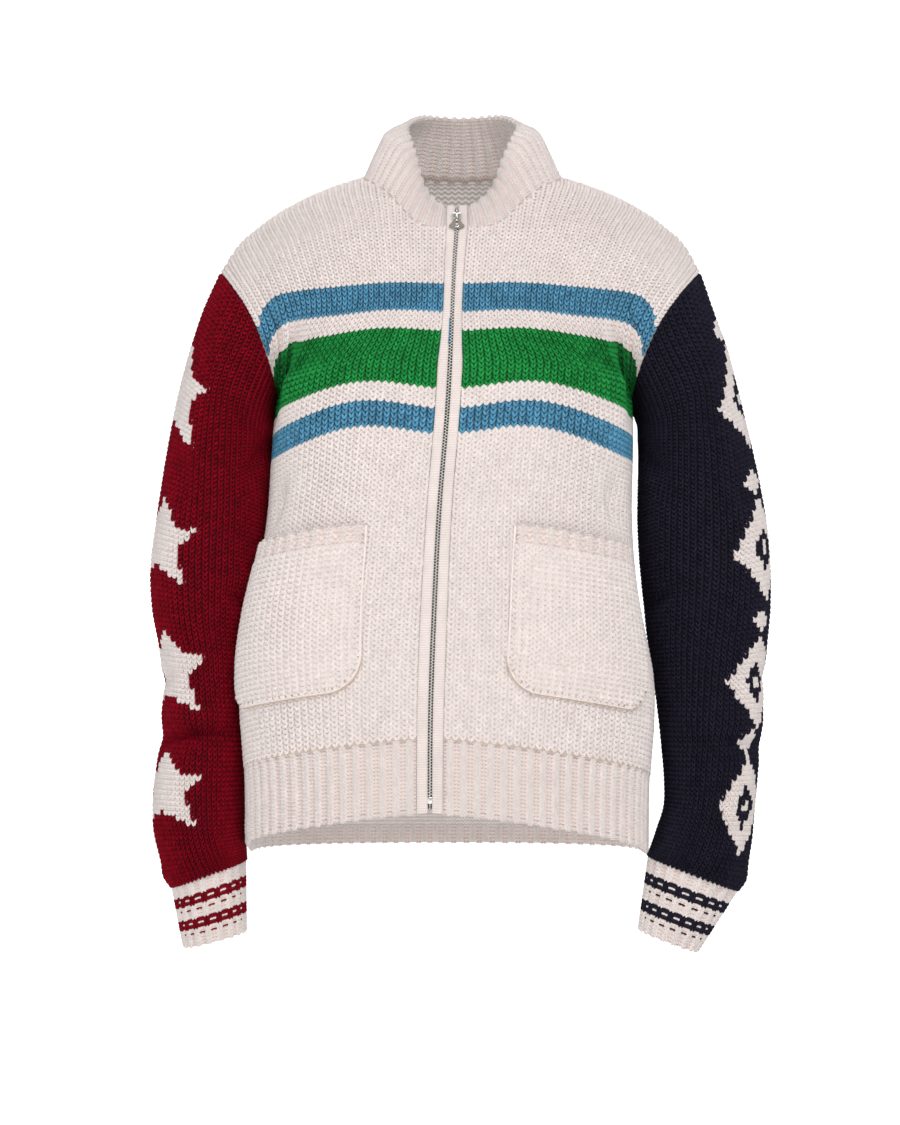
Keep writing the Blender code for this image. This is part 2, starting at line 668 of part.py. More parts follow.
def seam_vectors(side, front, cloths, heights, fractions):
    """Points of a panel's grid and its wall's vectors, shared with its neighbours at seams."""
    cloth, twin = cloths[side, front], cloths[side, not front]
    points, normals = cloth.at(heights, fractions)
    edge = heights[:, -1]
    upper = edge >= UNDERARM_HEIGHT
    _, mine = cloth.at(edge[~upper], 1.0)
    _, theirs = twin.at(edge[~upper], 1.0)
    normals[~upper, -1] = unit(mine + theirs)
    ridge = heights[-1] >= SHOULDER_HEIGHT
    _, mine = cloth.at(SHOULDER_HEIGHT, fractions[-1, ridge])
    _, theirs = twin.at(SHOULDER_HEIGHT, fractions[-1, ridge])
    normals[-1, ridge] = unit(mine + theirs)
    angle = smooth(ARMHOLE, "height", "angle", edge[upper])
    around = armhole_direction(side, front, angle)
    beside = normals[upper, -2] + ARMHOLE_TURN * around
    beside[:, 0] = side * np.maximum(side * beside[:, 0], ARMHOLE_SLANT)
    normals[upper, -2] = unit(beside)
    normals[upper, -1] = around
    depth = np.full(heights.shape, WALL)
    depth[upper, -1] = armhole_wall(angle)
    return points, normals * depth[..., None]


def inset(points, index, axis, distance):
    """Draw one edge row or column of a grid back from its seam by a distance."""
    grid = np.moveaxis(points, axis, 0)
    inward = 1 if index == 0 else -1
    neighbour = grid[index + inward]
    grid[index] += unit(neighbour - grid[index]) * distance


def draw_back(grid, lower, armhole):
    """Draw a panel's grid back from its top, its bottom and its side seams."""
    inset(grid, -1, 0, SEAM_GAP)
    inset(grid, 0, 0, SEAM_GAP)
    for column_index in armhole:
        inset(grid[:lower + 1], column_index, 1, SEAM_GAP / 2)
        inset(grid[lower + 1:], column_index, 1, ARMHOLE_GAP / 2)


def front_panel(side, cloths):
    """A front's outer and inner points, bottom row first, zip column first."""
    outer, vectors = seam_vectors(side, True, cloths, *front_places())
    inner = outer - vectors
    lower = SHARED_HEIGHTS.index(UNDERARM_HEIGHT)
    for grid in (outer, inner):
        draw_back(grid, lower, (-1,))
    return outer, inner


def back_panel(cloths):
    """The back's outer and inner points, from the right side seam across to the left."""
    right, right_way = seam_vectors(-1, False, cloths, *back_places())
    left, left_way = seam_vectors(1, False, cloths, *back_places())
    left_way[:, 0] = WALL * unit(right_way[:, 0] + left_way[:, 0])
    outer = np.concatenate([right[:, :0:-1], left], axis=1)
    inner = outer - np.concatenate([right_way[:, :0:-1], left_way], axis=1)
    lower = SHARED_HEIGHTS.index(UNDERARM_HEIGHT)
    for grid in (outer, inner):
        draw_back(grid, lower, (0, -1))
    return outer, inner


def build_body(cloths):
    """Make both fronts and the back, and return their grids for the pieces sewn to them."""
    panels = {"front_right": front_panel(-1, cloths), "front_left": front_panel(1, cloths),
              "back": back_panel(cloths)}
    for name, (outer, inner) in panels.items():
        make_wall(name, outer, inner, CREAM)
    return panels


# --------------------------------------------------------------------------
# Sleeves and cuffs


def armhole_loop(side, turns):
    """World points and wall directions round the armhole; turns run 0 to 360, front first."""
    front = turns <= 180
    angle = np.where(front, turns, 360 - turns)
    places = np.where(front[:, None], np.stack(armhole_point(side, True, angle), axis=-1),
                      np.stack(armhole_point(side, False, angle), axis=-1))
    ways = np.where(front[:, None], armhole_direction(side, True, angle),
                    armhole_direction(side, False, angle))
    places[:, 0] += smooth(LEAN, "z", "centre_x", places[:, 2])
    return places, ways


def ring_points(row, turns):
    """A ring of the sleeve: a squared-off ellipse through its outer and inner points."""
    angle = np.radians(turns)
    outer = np.array([row.outer_x, row.y, row.outer_z])
    inner = np.array([row.inner_x, row.y, row.inner_z])
    arm = (outer - inner) / 2
    cos = signed_power(np.cos(angle), 2 / RING_SQUARE)
    sin = signed_power(np.sin(angle), 2 / RING_SQUARE)
    fore = np.array([0.0, -row.half_depth, 0.0])
    return (outer + inner) / 2 + cos[:, None] * arm + sin[:, None] * fore


def sleeve_cloth(side, rows):
    """A sleeve as a readable surface, by distance along it and turn round it."""
    turns = np.linspace(0, 360, TABLE_TURNS + 1)
    loop, _ = armhole_loop(side, turns)
    top, foot = loop[0], loop[TABLE_TURNS // 2]
    first = RingRow(0, top[0], top[2], foot[0], foot[2], (top[1] + foot[1]) / 2, ARMHOLE_FRONT_DEPTH)
    rings = [first] + rows
    places = np.linspace(0, rows[-1].along, TABLE_LEVELS)
    fields = {name: smooth(rings, "along", name, places) for name in RingRow._fields if name != "along"}
    points = np.stack([ring_points(RingRow(0, *(fields[name][k] for name in RingRow._fields[1:])), turns)
                       for k in range(len(places))])
    fade = 1 - ease(places / SLEEVE_BLEND)
    points = points + fade[:, None, None] * (loop - points[0])[None]
    return Cloth(places, turns, points, grid_normals(points, side < 0))


def sleeve_turns():
    """Turns of a sleeve's columns: one for each row of the body's armhole edges."""
    heights = np.array([h for h in SHARED_HEIGHTS if h >= UNDERARM_HEIGHT], float)[::-1]
    angle = smooth(ARMHOLE, "height", "angle", heights)
    return np.concatenate([angle, 360 - angle[-2:0:-1]])


def build_sleeve(name, side, rows, colour):
    """Make one sleeve and return its last ring, outer and inner."""
    cloth = sleeve_cloth(side, rows)
    turns = sleeve_turns()
    places = np.minimum(np.array(SLEEVE_PLACES, float), rows[-1].along)
    outer, vectors = cloth.at(places[:, None], turns[None, :])
    outer[0], vectors[0] = armhole_loop(side, turns)
    vectors[1:] *= WALL
    vectors[0] *= armhole_wall(np.minimum(turns, 360 - turns))[:, None]
    inner = outer - vectors
    for grid in (outer, inner):
        inset(grid, 0, 0, ARMHOLE_GAP / 2)
        inset(grid, -1, 0, SEAM_GAP / 2)
        grid[0, :, 0] += side * ARMHOLE_GAP * np.maximum(-np.cos(np.radians(turns)), 0) ** 2
    make_wall(name, outer, inner, colour, closed=True)
    return outer[-1], inner[-1]


def close_loop(loop):
    """Repeat a ring's first point at its end."""
    return np.concatenate([loop, loop[:1]])


def ring_outward(ring):
    """Unit directions out of a closed ring, square to its run and in its plane."""
    middle = ring.mean(axis=0)
    run = np.roll(ring, -1, axis=0) - np.roll(ring, 1, axis=0)
    plane = unit(np.cross(ring - middle, run).sum(axis=0))
    out = unit(np.cross(run, plane))
    return out * np.sign((out * (ring - middle)).sum(axis=1, keepdims=True))


def build_cuff(name, sleeve_end, end_row):
    """Make a ribbed cuff from the sleeve's last ring down to its own end ring."""
    places, raised = rib_profile(CUFF_RIBS, True)
    top_outer, _ = along_edge(close_loop(sleeve_end[0]), places)
    top_inner, _ = along_edge(close_loop(sleeve_end[1]), places)
    foot, _ = along_edge(ring_points(end_row, np.linspace(0, 360, TABLE_TURNS + 1)), places)
    ways = [unit(top_outer - top_inner), None, ring_outward(foot)]
    ways[1] = unit(ways[0] + ways[2])
    down = unit(foot - top_outer)
    rings = [top_outer + CUFF_GAP * down, (top_outer + foot) / 2, foot]
    outer = np.stack([ring + (raised - RIB_RAISE)[:, None] * way for ring, way in zip(rings, ways)])
    inner = np.stack([ring - (WALL + RIB_RAISE) * way for ring, way in zip(rings, ways)])
    make_wall(name, outer, inner, CREAM, closed=True)


# --------------------------------------------------------------------------
# Hem band and collar


def hem_path():
    """Quarter, sign and fraction for places round the hem from the right front to the left."""
    start = FRONT_COLUMNS[0]
    quarters = [(-1, True, start, 1.0), (-1, False, 1.0, 0.0),
                (1, False, 0.0, 1.0), (1, True, 1.0, start)]
    lengths = np.array([abs(end - begin) for _, _, begin, end in quarters])
    return quarters, np.concatenate([[0.0], np.cumsum(lengths)])


def hem_row(cloths, height, knots_only, places):
    """Outer points and directions of the hem band at a height, at places round it.

    At the seam the points lie on the straight runs between the panels' own corners.
    """
    quarters, marks = hem_path()
    points, ways = np.zeros((len(places), 3)), np.zeros((len(places), 3))
    for number, (side, front, begin, end) in enumerate(quarters):
        inside = (places >= marks[number]) & (places <= marks[number + 1])
        fraction = begin + np.sign(end - begin) * (places[inside] - marks[number])
        if knots_only:
            knots = np.array(FRONT_COLUMNS if front else BACK_COLUMNS)
            corner, corner_way = cloths[side, front].at(height, knots)
            points[inside] = between(fraction, knots, corner)
            ways[inside] = unit(between(fraction, knots, corner_way))
        else:
            points[inside], ways[inside] = cloths[side, front].at(height, fraction)
    return points, ways


def build_hem(cloths):
    """Make the ribbed hem band, one C-shaped wall from zip to zip."""
    places, raised = rib_profile(HEM_RIBS, False)
    marks = hem_path()[1]
    places = places * marks[-1]
    rows = [hem_row(cloths, -HEM_GAP, True, places), hem_row(cloths, -HEM_DEPTH, False, places)]
    outer = np.stack([points + (raised - RIB_RAISE + HEM_PROUD)[:, None] * ways for points, ways in rows])
    inner = np.stack([points - (WALL + HEM_PROUD) * ways for points, ways in rows])
    make_wall("hem_band", outer, inner, CREAM)


def neck_edge(panels):
    """The panels' neck edge from the right front round the back to the left front."""
    heights = np.array(SHARED_HEIGHTS)
    upper = heights >= FRONT_NECK[0].height
    middle, reach = len(BACK_COLUMNS) - 1, BACK_COLUMNS.index(NECK_SHOULDER)
    back_row = slice(middle - reach, middle + reach + 1)
    parts = []
    for layer in (0, 1):
        right = panels["front_right"][layer][upper, 0]
        left = panels["front_left"][layer][upper, 0][::-1]
        back = panels["back"][layer][-1, back_row]
        parts.append(np.concatenate([right, back, left]))
    return parts


def evened(points, reach):
    """Average each point of a run with its neighbours; the ends keep their places."""
    half = reach // 2
    before = 2 * points[0] - points[half:0:-1]
    after = 2 * points[-1] - points[-2:-half - 2:-1]
    padded = np.concatenate([before, points, after])
    return np.stack([padded[k:k + len(points)] for k in range(2 * half + 1)]).mean(axis=0)


def collar_rows(panels, places):
    """Outer points and wall directions of the collar's rows, from its seam to its top."""
    edge_outer, edge_inner = neck_edge(panels)
    seam, walked = along_edge(edge_outer, places)
    under = between(places, walked, edge_inner)
    seam_way = seam - under
    half = np.minimum(places, 1 - places)
    inward = smooth(COLLAR, "fraction", "inward", half)
    rise = smooth(COLLAR, "fraction", "rise", half)
    aim = np.zeros_like(seam)
    aim[:, 0] = (NECK_AXIS[0] - seam[:, 0]) * ease(half / COLLAR_STRAIGHT)
    aim[:, 1] = NECK_AXIS[1] - seam[:, 1]
    top = seam + unit(aim) * inward[:, None] + np.array([0, 0, 1.0]) * rise[:, None]
    top = evened(top, COLLAR_EVEN)
    top_way = evened(unit(np.cross(top - seam, np.gradient(top, axis=0))), COLLAR_EVEN)
    top_way[[0, -1], 0] = 0.0
    seam_way[[0, -1], 0] = 0.0
    top_way, seam_way = unit(top_way), unit(seam_way)
    lift = (top - seam) - seam_way * ((top - seam) * seam_way).sum(axis=1, keepdims=True)
    seam = seam + COLLAR_GAP * unit(lift)
    rows = []
    for row in COLLAR_SWELL:
        way = unit(seam_way * (1 - row.share) + COLLAR_TURN * top_way * row.share)
        swell = row.everywhere + row.sides * np.sin(2 * np.pi * half) ** 2
        rows.append((seam + (top - seam) * row.share + swell[:, None] * way, way))
    return rows


def build_collar(panels):
    """Make the ribbed collar and return its grid, outer and inner."""
    places, raised = rib_profile(COLLAR_RIBS, False)
    rows = collar_rows(panels, places)
    proud = (raised - RIB_RAISE + COLLAR_PROUD)[:, None]
    outer = np.stack([points + proud * ways for points, ways in rows])
    inner = np.stack([points - COLLAR_WALL * ways for points, ways in rows])
    make_wall("collar", outer, inner, CREAM)
    return rows


# --------------------------------------------------------------------------
# Pockets


def on_panel(panel, fractions, heights):
    """Points on a front panel's own facets, and the wall's direction there."""
    outer, inner = panel
    cloth = Cloth(np.array(SHARED_HEIGHTS, float), np.array(FRONT_COLUMNS), outer, unit(outer - inner))
    return cloth.at(heights, fractions)


def build_pocket(name, panel, start):
    """Make a patch pocket: stitched down at sides and foot, standing open at its mouth."""
    places, raised = rib_profile(POCKET_RIBS, False)
    level = np.array(POCKET_LEVELS)[:, None]
    inner_edge = start + POCKET_LEAN * level
    fractions = inner_edge + (POCKET_OUTER - inner_edge) * places[None, :]
    from_side = np.minimum(places, 1 - places) * (POCKET_OUTER - start) * PANEL_HALF_WIDTH
    into = np.clip(POCKET_CORNER - from_side, 0, POCKET_CORNER)
    foot = POCKET_FOOT + POCKET_CORNER - np.sqrt(POCKET_CORNER ** 2 - into ** 2)
    heights = foot[None, :] + (POCKET_MOUTH - foot)[None, :] * level
    base, ways = on_panel(panel, fractions, heights)
    open_up = np.sin(np.pi * places[None, :]) ** POCKET_BELLY * np.sin(level * np.pi / 2) ** POCKET_GAPE
    lift = POCKET_LIFT + POCKET_BULGE * open_up
    ribbed = (heights >= POCKET_MOUTH - POCKET_RIB_DEPTH) * (raised[None, :] - RIB_RAISE) * POCKET_RIB_SHARE
    inner = base + lift[..., None] * ways
    outer = base + (lift + POCKET_WALL + ribbed)[..., None] * ways
    make_wall(name, outer, inner, CREAM)


# --------------------------------------------------------------------------
# Zip


def zip_strip(cloths, collar, side, near, far, raise_by, depth, heights, collar_share):
    """A strip beside the zip line: points at two distances, on the body and up the collar."""
    heights = np.array(list(heights) + [FRONT_NECK[0].height], float)
    fractions = np.array([near, far]) / PANEL_HALF_WIDTH
    points, ways = cloths[side, True].at(heights[:, None], fractions[None, :])
    climb, climb_way = collar_climb(collar, side, collar_share)
    upper = points[-1][None, :, :] + climb[:, None, :]
    points = np.concatenate([points[:-1], upper])
    ways = np.concatenate([ways[:-1], np.stack([climb_way, climb_way], axis=1)])
    outer = points + raise_by * ways
    return outer, outer - depth * ways


def collar_climb(collar, side, shares):
    """Steps up the collar's front edge from its seam, and the wall's direction there."""
    end = 0 if side < 0 else -1
    known = column(COLLAR_SWELL, "share")
    steps = np.stack([points[end] - collar[0][0][end] for points, _ in collar])
    ways = np.stack([way[end] for _, way in collar])
    return between(shares, known, steps), unit(between(shares, known, ways))


def build_zip_cloth(cloths, collar):
    """Make the two facing bands, the tapes behind them and the chain between them."""
    body_heights = [h for h in SHARED_HEIGHTS[1:] if h < FRONT_NECK[0].height]
    band_heights = [-HEM_DEPTH, 0.0] + body_heights
    up_collar = column(COLLAR_SWELL, "share")
    up_collar[0] = BAND_STEP
    for side, name in ((-1, "right"), (1, "left")):
        band = zip_strip(cloths, collar, side, BAND_INNER, BAND_OUTER, BAND_RAISE, BAND_DEPTH,
                         band_heights, up_collar)
        make_wall("zip_band_" + name, *band, CREAM)
        tape_heights = [TAPE_FOOT] + band_heights[1:]
        tape = zip_strip(cloths, collar, side, TAPE_INNER, BAND_OUTER, BAND_RAISE - BAND_DEPTH - SEAM_GAP,
                         TAPE_DEPTH, tape_heights, up_collar * TAPE_REACH)
        make_wall("zip_tape_" + name, *tape, CREAM)
    chain_top = SLIDER_PLACE - (SLIDER_LENGTH / 2 + SEAM_GAP) / collar_front_width(collar)
    shares = np.array([BAND_STEP, chain_top])
    halves = [zip_strip(cloths, collar, side, 0.0, CHAIN_HALF, CHAIN_RAISE, CHAIN_DEPTH,
                        [CHAIN_FOOT] + band_heights[1:], shares) for side in (-1, 1)]
    (right, right_in), (left, left_in) = halves
    outer = np.concatenate([right[:, 1:], left[:, 1:]], axis=1)
    inner = np.concatenate([right_in[:, 1:], left_in[:, 1:]], axis=1)
    make_wall("zip_chain", outer, inner, SILVER)


def collar_front_width(collar):
    """Length of the collar's front edge from its seam to its top."""
    corner = np.stack([points[0] for points, _ in collar])
    return np.linalg.norm(np.diff(corner, axis=0), axis=1).sum()


def solid_object(name, shape, colour):
    """Turn a bmesh in millimetres into a metal piece in metres."""
    bmesh.ops.scale(shape, vec=(MM, MM, MM), verts=shape.verts)
    mesh = bpy.data.meshes.new(name)
    shape.to_mesh(mesh)
    shape.free()
    return finish_mesh(name, mesh, colour, METAL, POLISH)


def local_frame(origin, along, out):
    """Matrix whose X is across, Y along the chain and Z out of the cloth, in metres."""
    along, out = unit(along), unit(out)
    across = np.cross(along, out)
    matrix = Matrix.Identity(4)
    for row in range(3):
        matrix[row][0], matrix[row][1], matrix[row][2] = across[row], along[row], out[row]
        matrix[row][3] = origin[row] * MM
    return matrix


def rounded_box(name, size, bevel, colour, taper=1.0):
    """A box of a size, narrowed towards its lower end, with bevelled edges."""
    shape = bmesh.new()
    bmesh.ops.create_cube(shape, size=1.0)
    bmesh.ops.scale(shape, vec=size, verts=shape.verts)
    for vert in shape.verts:
        if vert.co.y < 0:
            vert.co.x *= taper
    item = solid_object(name, shape, colour)
    rounding = item.modifiers.new("rounding", "BEVEL")
    rounding.width = bevel * MM
    rounding.segments = 3
    return item


def build_stop(cloths):
    """Make the box at the foot of the zip."""
    low, high = STOP_HEIGHTS
    ends, ways = cloths[1, True].at(np.array([low, high]), 0.0)
    along = ends[1] - ends[0]
    way = unit(ways.sum(axis=0))
    size = (STOP_SIZE[0], float(np.linalg.norm(along)), STOP_SIZE[1])
    item = rounded_box("zip_stop", size, STOP_ROUND, SILVER)
    centre = ends.mean(axis=0) + way * (CHAIN_RAISE + STOP_PROUD - CHAIN_DEPTH / 2)
    item.matrix_world = local_frame(centre, along, way)


def slider_frame(cloths, collar):
    """Where the slider sits: a point on the zip line, the way up it and the way out."""
    foot = cloths[1, True].at(FRONT_NECK[0].height, 0.0)[0]
    shares = SLIDER_PLACE + np.array([-SLIDER_REACH, 0.0, SLIDER_REACH])
    climb, ways = collar_climb(collar, 1, shares)
    along = climb[2] - climb[0]
    out = ways[1] - unit(along) * np.dot(ways[1], unit(along))
    return foot + climb[1], along, out


def build_slider(cloths, collar):
    """Make the slider: a tapered body with a bridge over it, united into one piece."""
    origin, along, out = slider_frame(cloths, collar)
    size = (SLIDER_WIDTH, SLIDER_LENGTH, SLIDER_DEPTH)
    body = rounded_box("zip_slider", size, SLIDER_ROUND, SILVER, SLIDER_TAPER)
    frame = local_frame(origin + unit(out) * (BAND_RAISE + SEAM_GAP + SLIDER_DEPTH / 2), along, out)
    body.matrix_world = frame
    bridge = bridge_mesh("bridge")
    upright = Matrix(((0, 0, 1, 0), (1, 0, 0, 0), (0, 1, 0, 0), (0, 0, 0, 1)))
    bridge.matrix_world = frame @ upright
    join = body.modifiers.new("bridge", "BOOLEAN")
    join.operation = "UNION"
    join.object = bridge
    return frame


def flat_plate(name, outlines, thickness):
    """Mesh of a flat plate: closed outlines in the XY plane, the first the rim, the rest holes."""
    curve = bpy.data.curves.new(name, "CURVE")
    curve.dimensions = "2D"
    curve.fill_mode = "BOTH"
    curve.extrude = thickness / 2 * MM
    for outline in outlines:
        spline = curve.splines.new("POLY")
        spline.points.add(len(outline) - 1)
        spline.use_cyclic_u = True
        for point, (x, y) in zip(spline.points, outline):
            point.co = (x * MM, y * MM, 0.0, 1.0)
    flat = bpy.data.objects.new(name + "_outline", curve)
    collection().objects.link(flat)
    bpy.context.view_layer.update()
    mesh = bpy.data.meshes.new_from_object(flat.evaluated_get(bpy.context.evaluated_depsgraph_get()))
    bpy.data.objects.remove(flat)
    shape = bmesh.new()
    shape.from_mesh(mesh)
    bmesh.ops.remove_doubles(shape, verts=shape.verts, dist=0.00001)
    bmesh.ops.recalc_face_normals(shape, faces=shape.faces)
    shape.to_mesh(mesh)
    shape.free()
    return mesh


def bridge_mesh(name):
    """A flat arch that stands on the slider, as a closed solid that dips into its body."""
    turns = np.linspace(0, math.pi, BRIDGE_POINTS)
    top = SLIDER_DEPTH / 2
    rings = []
    for cut in (0.0, BRIDGE_WIDTH):
        reach, rise = BRIDGE_HALF - cut, BRIDGE_RISE - cut
        xs = -reach * signed_power(np.cos(turns), BRIDGE_SQUARE)
        zs = top + rise * np.maximum(np.sin(turns), 0.0) ** BRIDGE_SQUARE
        rings.append(list(zip(xs, zs)))
    outer, inner = rings
    root = top - BRIDGE_ROOT
    feet = [(BRIDGE_HALF, root), (BRIDGE_HALF - BRIDGE_WIDTH, root)]
    back = [(-x, z) for x, z in reversed(feet)]
    outline = outer + feet + inner[::-1] + back
    mesh = flat_plate(name, [outline], BRIDGE_WIDTH)
    item = bpy.data.objects.new(name, mesh)
    item.hide_render = True
    item.display_type = "WIRE"
    cutters = bpy.data.collections.new("cutters")
    bpy.context.scene.collection.children.link(cutters)
    cutters.objects.link(item)
    return item


def build_pull(frame):
    """Make the pull tab: a flared plate hung by a slot on the slider's bridge."""
    rim = [(row.half_width, -row.along) for row in PULL_OUTLINE]
    rim += [(-x, y) for x, y in reversed(rim)]
    near, far, half = PULL_SLOT
    slot = [(half, -near), (half, -far), (-half, -far), (-half, -near)]
    eye_at, eye_radius = PULL_EYE
    eye = [(eye_radius * math.cos(t), -eye_at + eye_radius * math.sin(t))
           for t in np.linspace(0, 2 * math.pi, PULL_EYE_POINTS, endpoint=False)]
    plate = flat_plate("zip_pull", [rim, slot, eye], PULL_THICKNESS)
    item = finish_mesh("zip_pull", plate, SILVER, METAL, POLISH)
    pivot = Matrix.Translation((0.0, PIVOT_ALONG * MM, (SLIDER_DEPTH / 2 + PIVOT_RISE) * MM))
    item.matrix_world = frame @ pivot @ Matrix.Rotation(math.radians(PULL_DIP), 4, "X")


def main():
    """Build every piece of the cardigan."""
    for item in list(bpy.data.objects):
        bpy.data.objects.remove(item)
    cloths = {(side, front): body_cloth(side, front) for side in (-1, 1) for front in (True, False)}
    panels = build_body(cloths)
    build_cuff("cuff_right", build_sleeve("sleeve_right", -1, RIGHT_SLEEVE, BURGUNDY), RIGHT_CUFF_END)
    build_cuff("cuff_left", build_sleeve("sleeve_left", 1, LEFT_SLEEVE, NAVY), LEFT_CUFF_END)
    build_hem(cloths)
    collar = build_collar(panels)
    build_pocket("pocket_right", panels["front_right"], POCKET_INNER_RIGHT)
    build_pocket("pocket_left", panels["front_left"], POCKET_INNER_LEFT)
    build_zip_cloth(cloths, collar)
    build_stop(cloths)
    build_pull(build_slider(cloths, collar))


main()
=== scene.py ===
"""Dress the knitted zip cardigan: shaped cloth, real stitches, yarn, zip and a plain studio.

Sizes and tables are in millimetres and become metres when a mesh is made. The front
faces -Y, +Z is up and +X is the wearer's left. Cloth is described by surfaces that are
read at a place along the knitting and a place across it, and every stitch is laid on
one of them as two small slanted legs of yarn.
"""

from __future__ import annotations

import json
import logging
import math
from collections import namedtuple
from dataclasses import dataclass, field
from enum import Enum
from typing import Callable, Sequence

import bpy
import numpy as np
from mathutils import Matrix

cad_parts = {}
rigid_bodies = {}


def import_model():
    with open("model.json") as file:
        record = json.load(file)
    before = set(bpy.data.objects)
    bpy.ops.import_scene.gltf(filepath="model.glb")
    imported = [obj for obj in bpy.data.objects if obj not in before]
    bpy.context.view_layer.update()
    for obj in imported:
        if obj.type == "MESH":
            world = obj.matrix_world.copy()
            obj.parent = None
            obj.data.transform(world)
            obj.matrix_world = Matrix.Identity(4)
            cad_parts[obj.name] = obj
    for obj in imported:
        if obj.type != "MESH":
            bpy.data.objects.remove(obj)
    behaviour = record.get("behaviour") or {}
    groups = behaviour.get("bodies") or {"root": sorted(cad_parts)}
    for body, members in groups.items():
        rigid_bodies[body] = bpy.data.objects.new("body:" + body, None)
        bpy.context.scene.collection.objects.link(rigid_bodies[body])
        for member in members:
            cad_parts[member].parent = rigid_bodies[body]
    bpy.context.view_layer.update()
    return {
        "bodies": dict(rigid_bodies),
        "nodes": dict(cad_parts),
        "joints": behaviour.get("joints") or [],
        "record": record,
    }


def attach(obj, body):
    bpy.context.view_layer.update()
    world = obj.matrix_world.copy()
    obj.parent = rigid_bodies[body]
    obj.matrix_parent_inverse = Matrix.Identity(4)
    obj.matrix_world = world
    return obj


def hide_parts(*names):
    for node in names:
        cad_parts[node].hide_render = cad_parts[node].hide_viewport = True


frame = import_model()

LOG = logging.getLogger("cardigan")
MM = 0.001
Array = np.ndarray


def table(kind: type, rows: Sequence[tuple]) -> list:
    """Name the columns of a table's rows."""
    return [kind(*row) for row in rows]


# --------------------------------------------------------------------------
# Sizes of the knitting, the same as the solids have


WALL = 4.0
HALF_WIDTH = 267.0
HEM_DEPTH = 70.0
UNDERARM = 349.0
SHOULDER = 590.0
NECK_SHOULDER = 0.366
PANEL_INNER = 12.28

BODY_WALES = 36
BODY_COURSES = 125
SLEEVE_WALES = 57
SLEEVE_COURSES = 122
FACING_RIDGE = 2.3
FACING_UNIT = 4.0
CORE_OUT = -1.7
CORE_THICK = 2.3

# Painted light and shade on a core under its stitches: a pale core is tinted warm for light through
# the wool, and a dark one keeps only this share of its colour, as painted shade in the holes.
UNDER_PALE_PAINTED_LIGHT = (1.08, 0.97, 0.92)
UNDER_DARK_PAINTED_SHADE = 0.19

LeanRow = namedtuple("LeanRow", "z centre_x zip_x")
LEAN = table(LeanRow, [
    (-630, -8, -24), (-588, -8, -24), (-482, -8, -23),
    (-400, -9, -20), (-300, -5, -15), (-200, -1, -7),
    (-140, 1, -4), (-70, 5, -1), (-20, 7, 2),
    (30, 7, 2), (100, 4, 2),
])

CentreRow = namedtuple(
    "CentreRow", "height front_z front_y front_power arch back_z back_y back_power square")
CENTRE = table(CentreRow, [
    (-70, -588, -138, 1.4, 0.0, -635, 121, 2.0, 2.45),
    (-35, -553, -139, 1.4, 0.0, -599, 122, 2.0, 2.45),
    (0, -517, -140, 1.4, 0.0, -563, 123, 2.0, 2.5),
    (50, -467, -142, 1.5, 1.0, -511, 124, 2.0, 2.5),
    (120, -397, -142, 1.7, 2.0, -437, 121, 2.0, 2.5),
    (187, -330, -140, 2.0, 4.0, -367, 116, 2.0, 2.5),
    (237, -281, -138, 2.4, 6.0, -314, 114, 2.0, 2.5),
    (282, -236, -137, 2.8, 8.0, -268, 116, 2.0, 2.6),
    (310, -208, -137, 3.2, 8.5, -240, 119, 2.0, 2.7),
    (349, -169, -136, 3.5, 6.0, -200, 124, 2.0, 2.7),
    (388, -132, -133, 3.9, 3.0, -160, 129, 2.2, 2.6),
    (433, -89, -124, 4.2, 1.5, -114, 130, 2.6, 2.5),
    (463, -61, -116, 4.0, 1.0, -83, 127, 2.8, 2.4),
    (494, -33, -105, 3.7, 0.0, -51, 119, 3.0, 2.3),
    (520, -12, -89, 3.4, 0.0, -23, 109, 3.0, 2.25),
    (550, 12, -62, 3.2, 0.0, 9, 94, 3.1, 2.2),
    (575, 28, -25, 3.1, 0.0, 33, 78, 3.1, 2.2),
    (590, 36, 9, 3.1, 0.0, 44, 62, 3.1, 2.2),
])

SideRow = namedtuple("SideRow", "height half_width y z twist press")
SIDE = table(SideRow, [
    (-70, 199.5, -2, -634, 5.0, 5.0), (0, 201.0, -2, -560, 5.0, 7.0),
    (50, 206.0, -2, -507, 5.0, 12.0), (95, 206.0, -1, -460, 4.5, 14.5),
    (137, 198.0, 0, -416, 4.0, 11.0), (187, 186.0, 1, -364, 3.0, 7.0),
    (237, 179.5, 2, -312, 2.0, 4.5), (282, 177.5, 3, -267, 1.0, 3.0),
    (320, 175.5, 4, -229, 0.5, 1.5), (349, 173.5, 5, -200, 0.0, 0.0),
])

ArmholeRow = namedtuple("ArmholeRow", "height angle section")
ARMHOLE = table(ArmholeRow, [
    (349, 180, 90), (366, 150, 84), (388, 129, 77),
    (407, 111, 69), (433, 89, 60), (463, 66, 51),
    (494, 45, 44), (520, 31, 40), (550, 16, 37),
    (575, 6, 35), (590, 0, 35),
])

RidgeRow = namedtuple("RidgeRow", "fraction x y z")
RIDGE = table(RidgeRow, [
    (0.00, 0, 12, 36), (0.25, 66, 12, 32),
    (NECK_SHOULDER, 97, 10, 27), (0.46, 120, 9, 20),
    (0.63, 160, 8, 3), (0.81, 198, 6, -22),
    (0.94, 222, 2, -47), (1.00, 234, 0, -69),
])

NeckRow = namedtuple("NeckRow", "height fraction")
FRONT_NECK = table(NeckRow, [
    (494, PANEL_INNER / HALF_WIDTH), (498, 0.150), (508, 0.197),
    (524, 0.240), (550, 0.297), (572, 0.341), (590, NECK_SHOULDER),
])
BACK_NECK = table(NeckRow, [
    (572, 0.000), (574, 0.120), (580, 0.245), (590, NECK_SHOULDER),
])

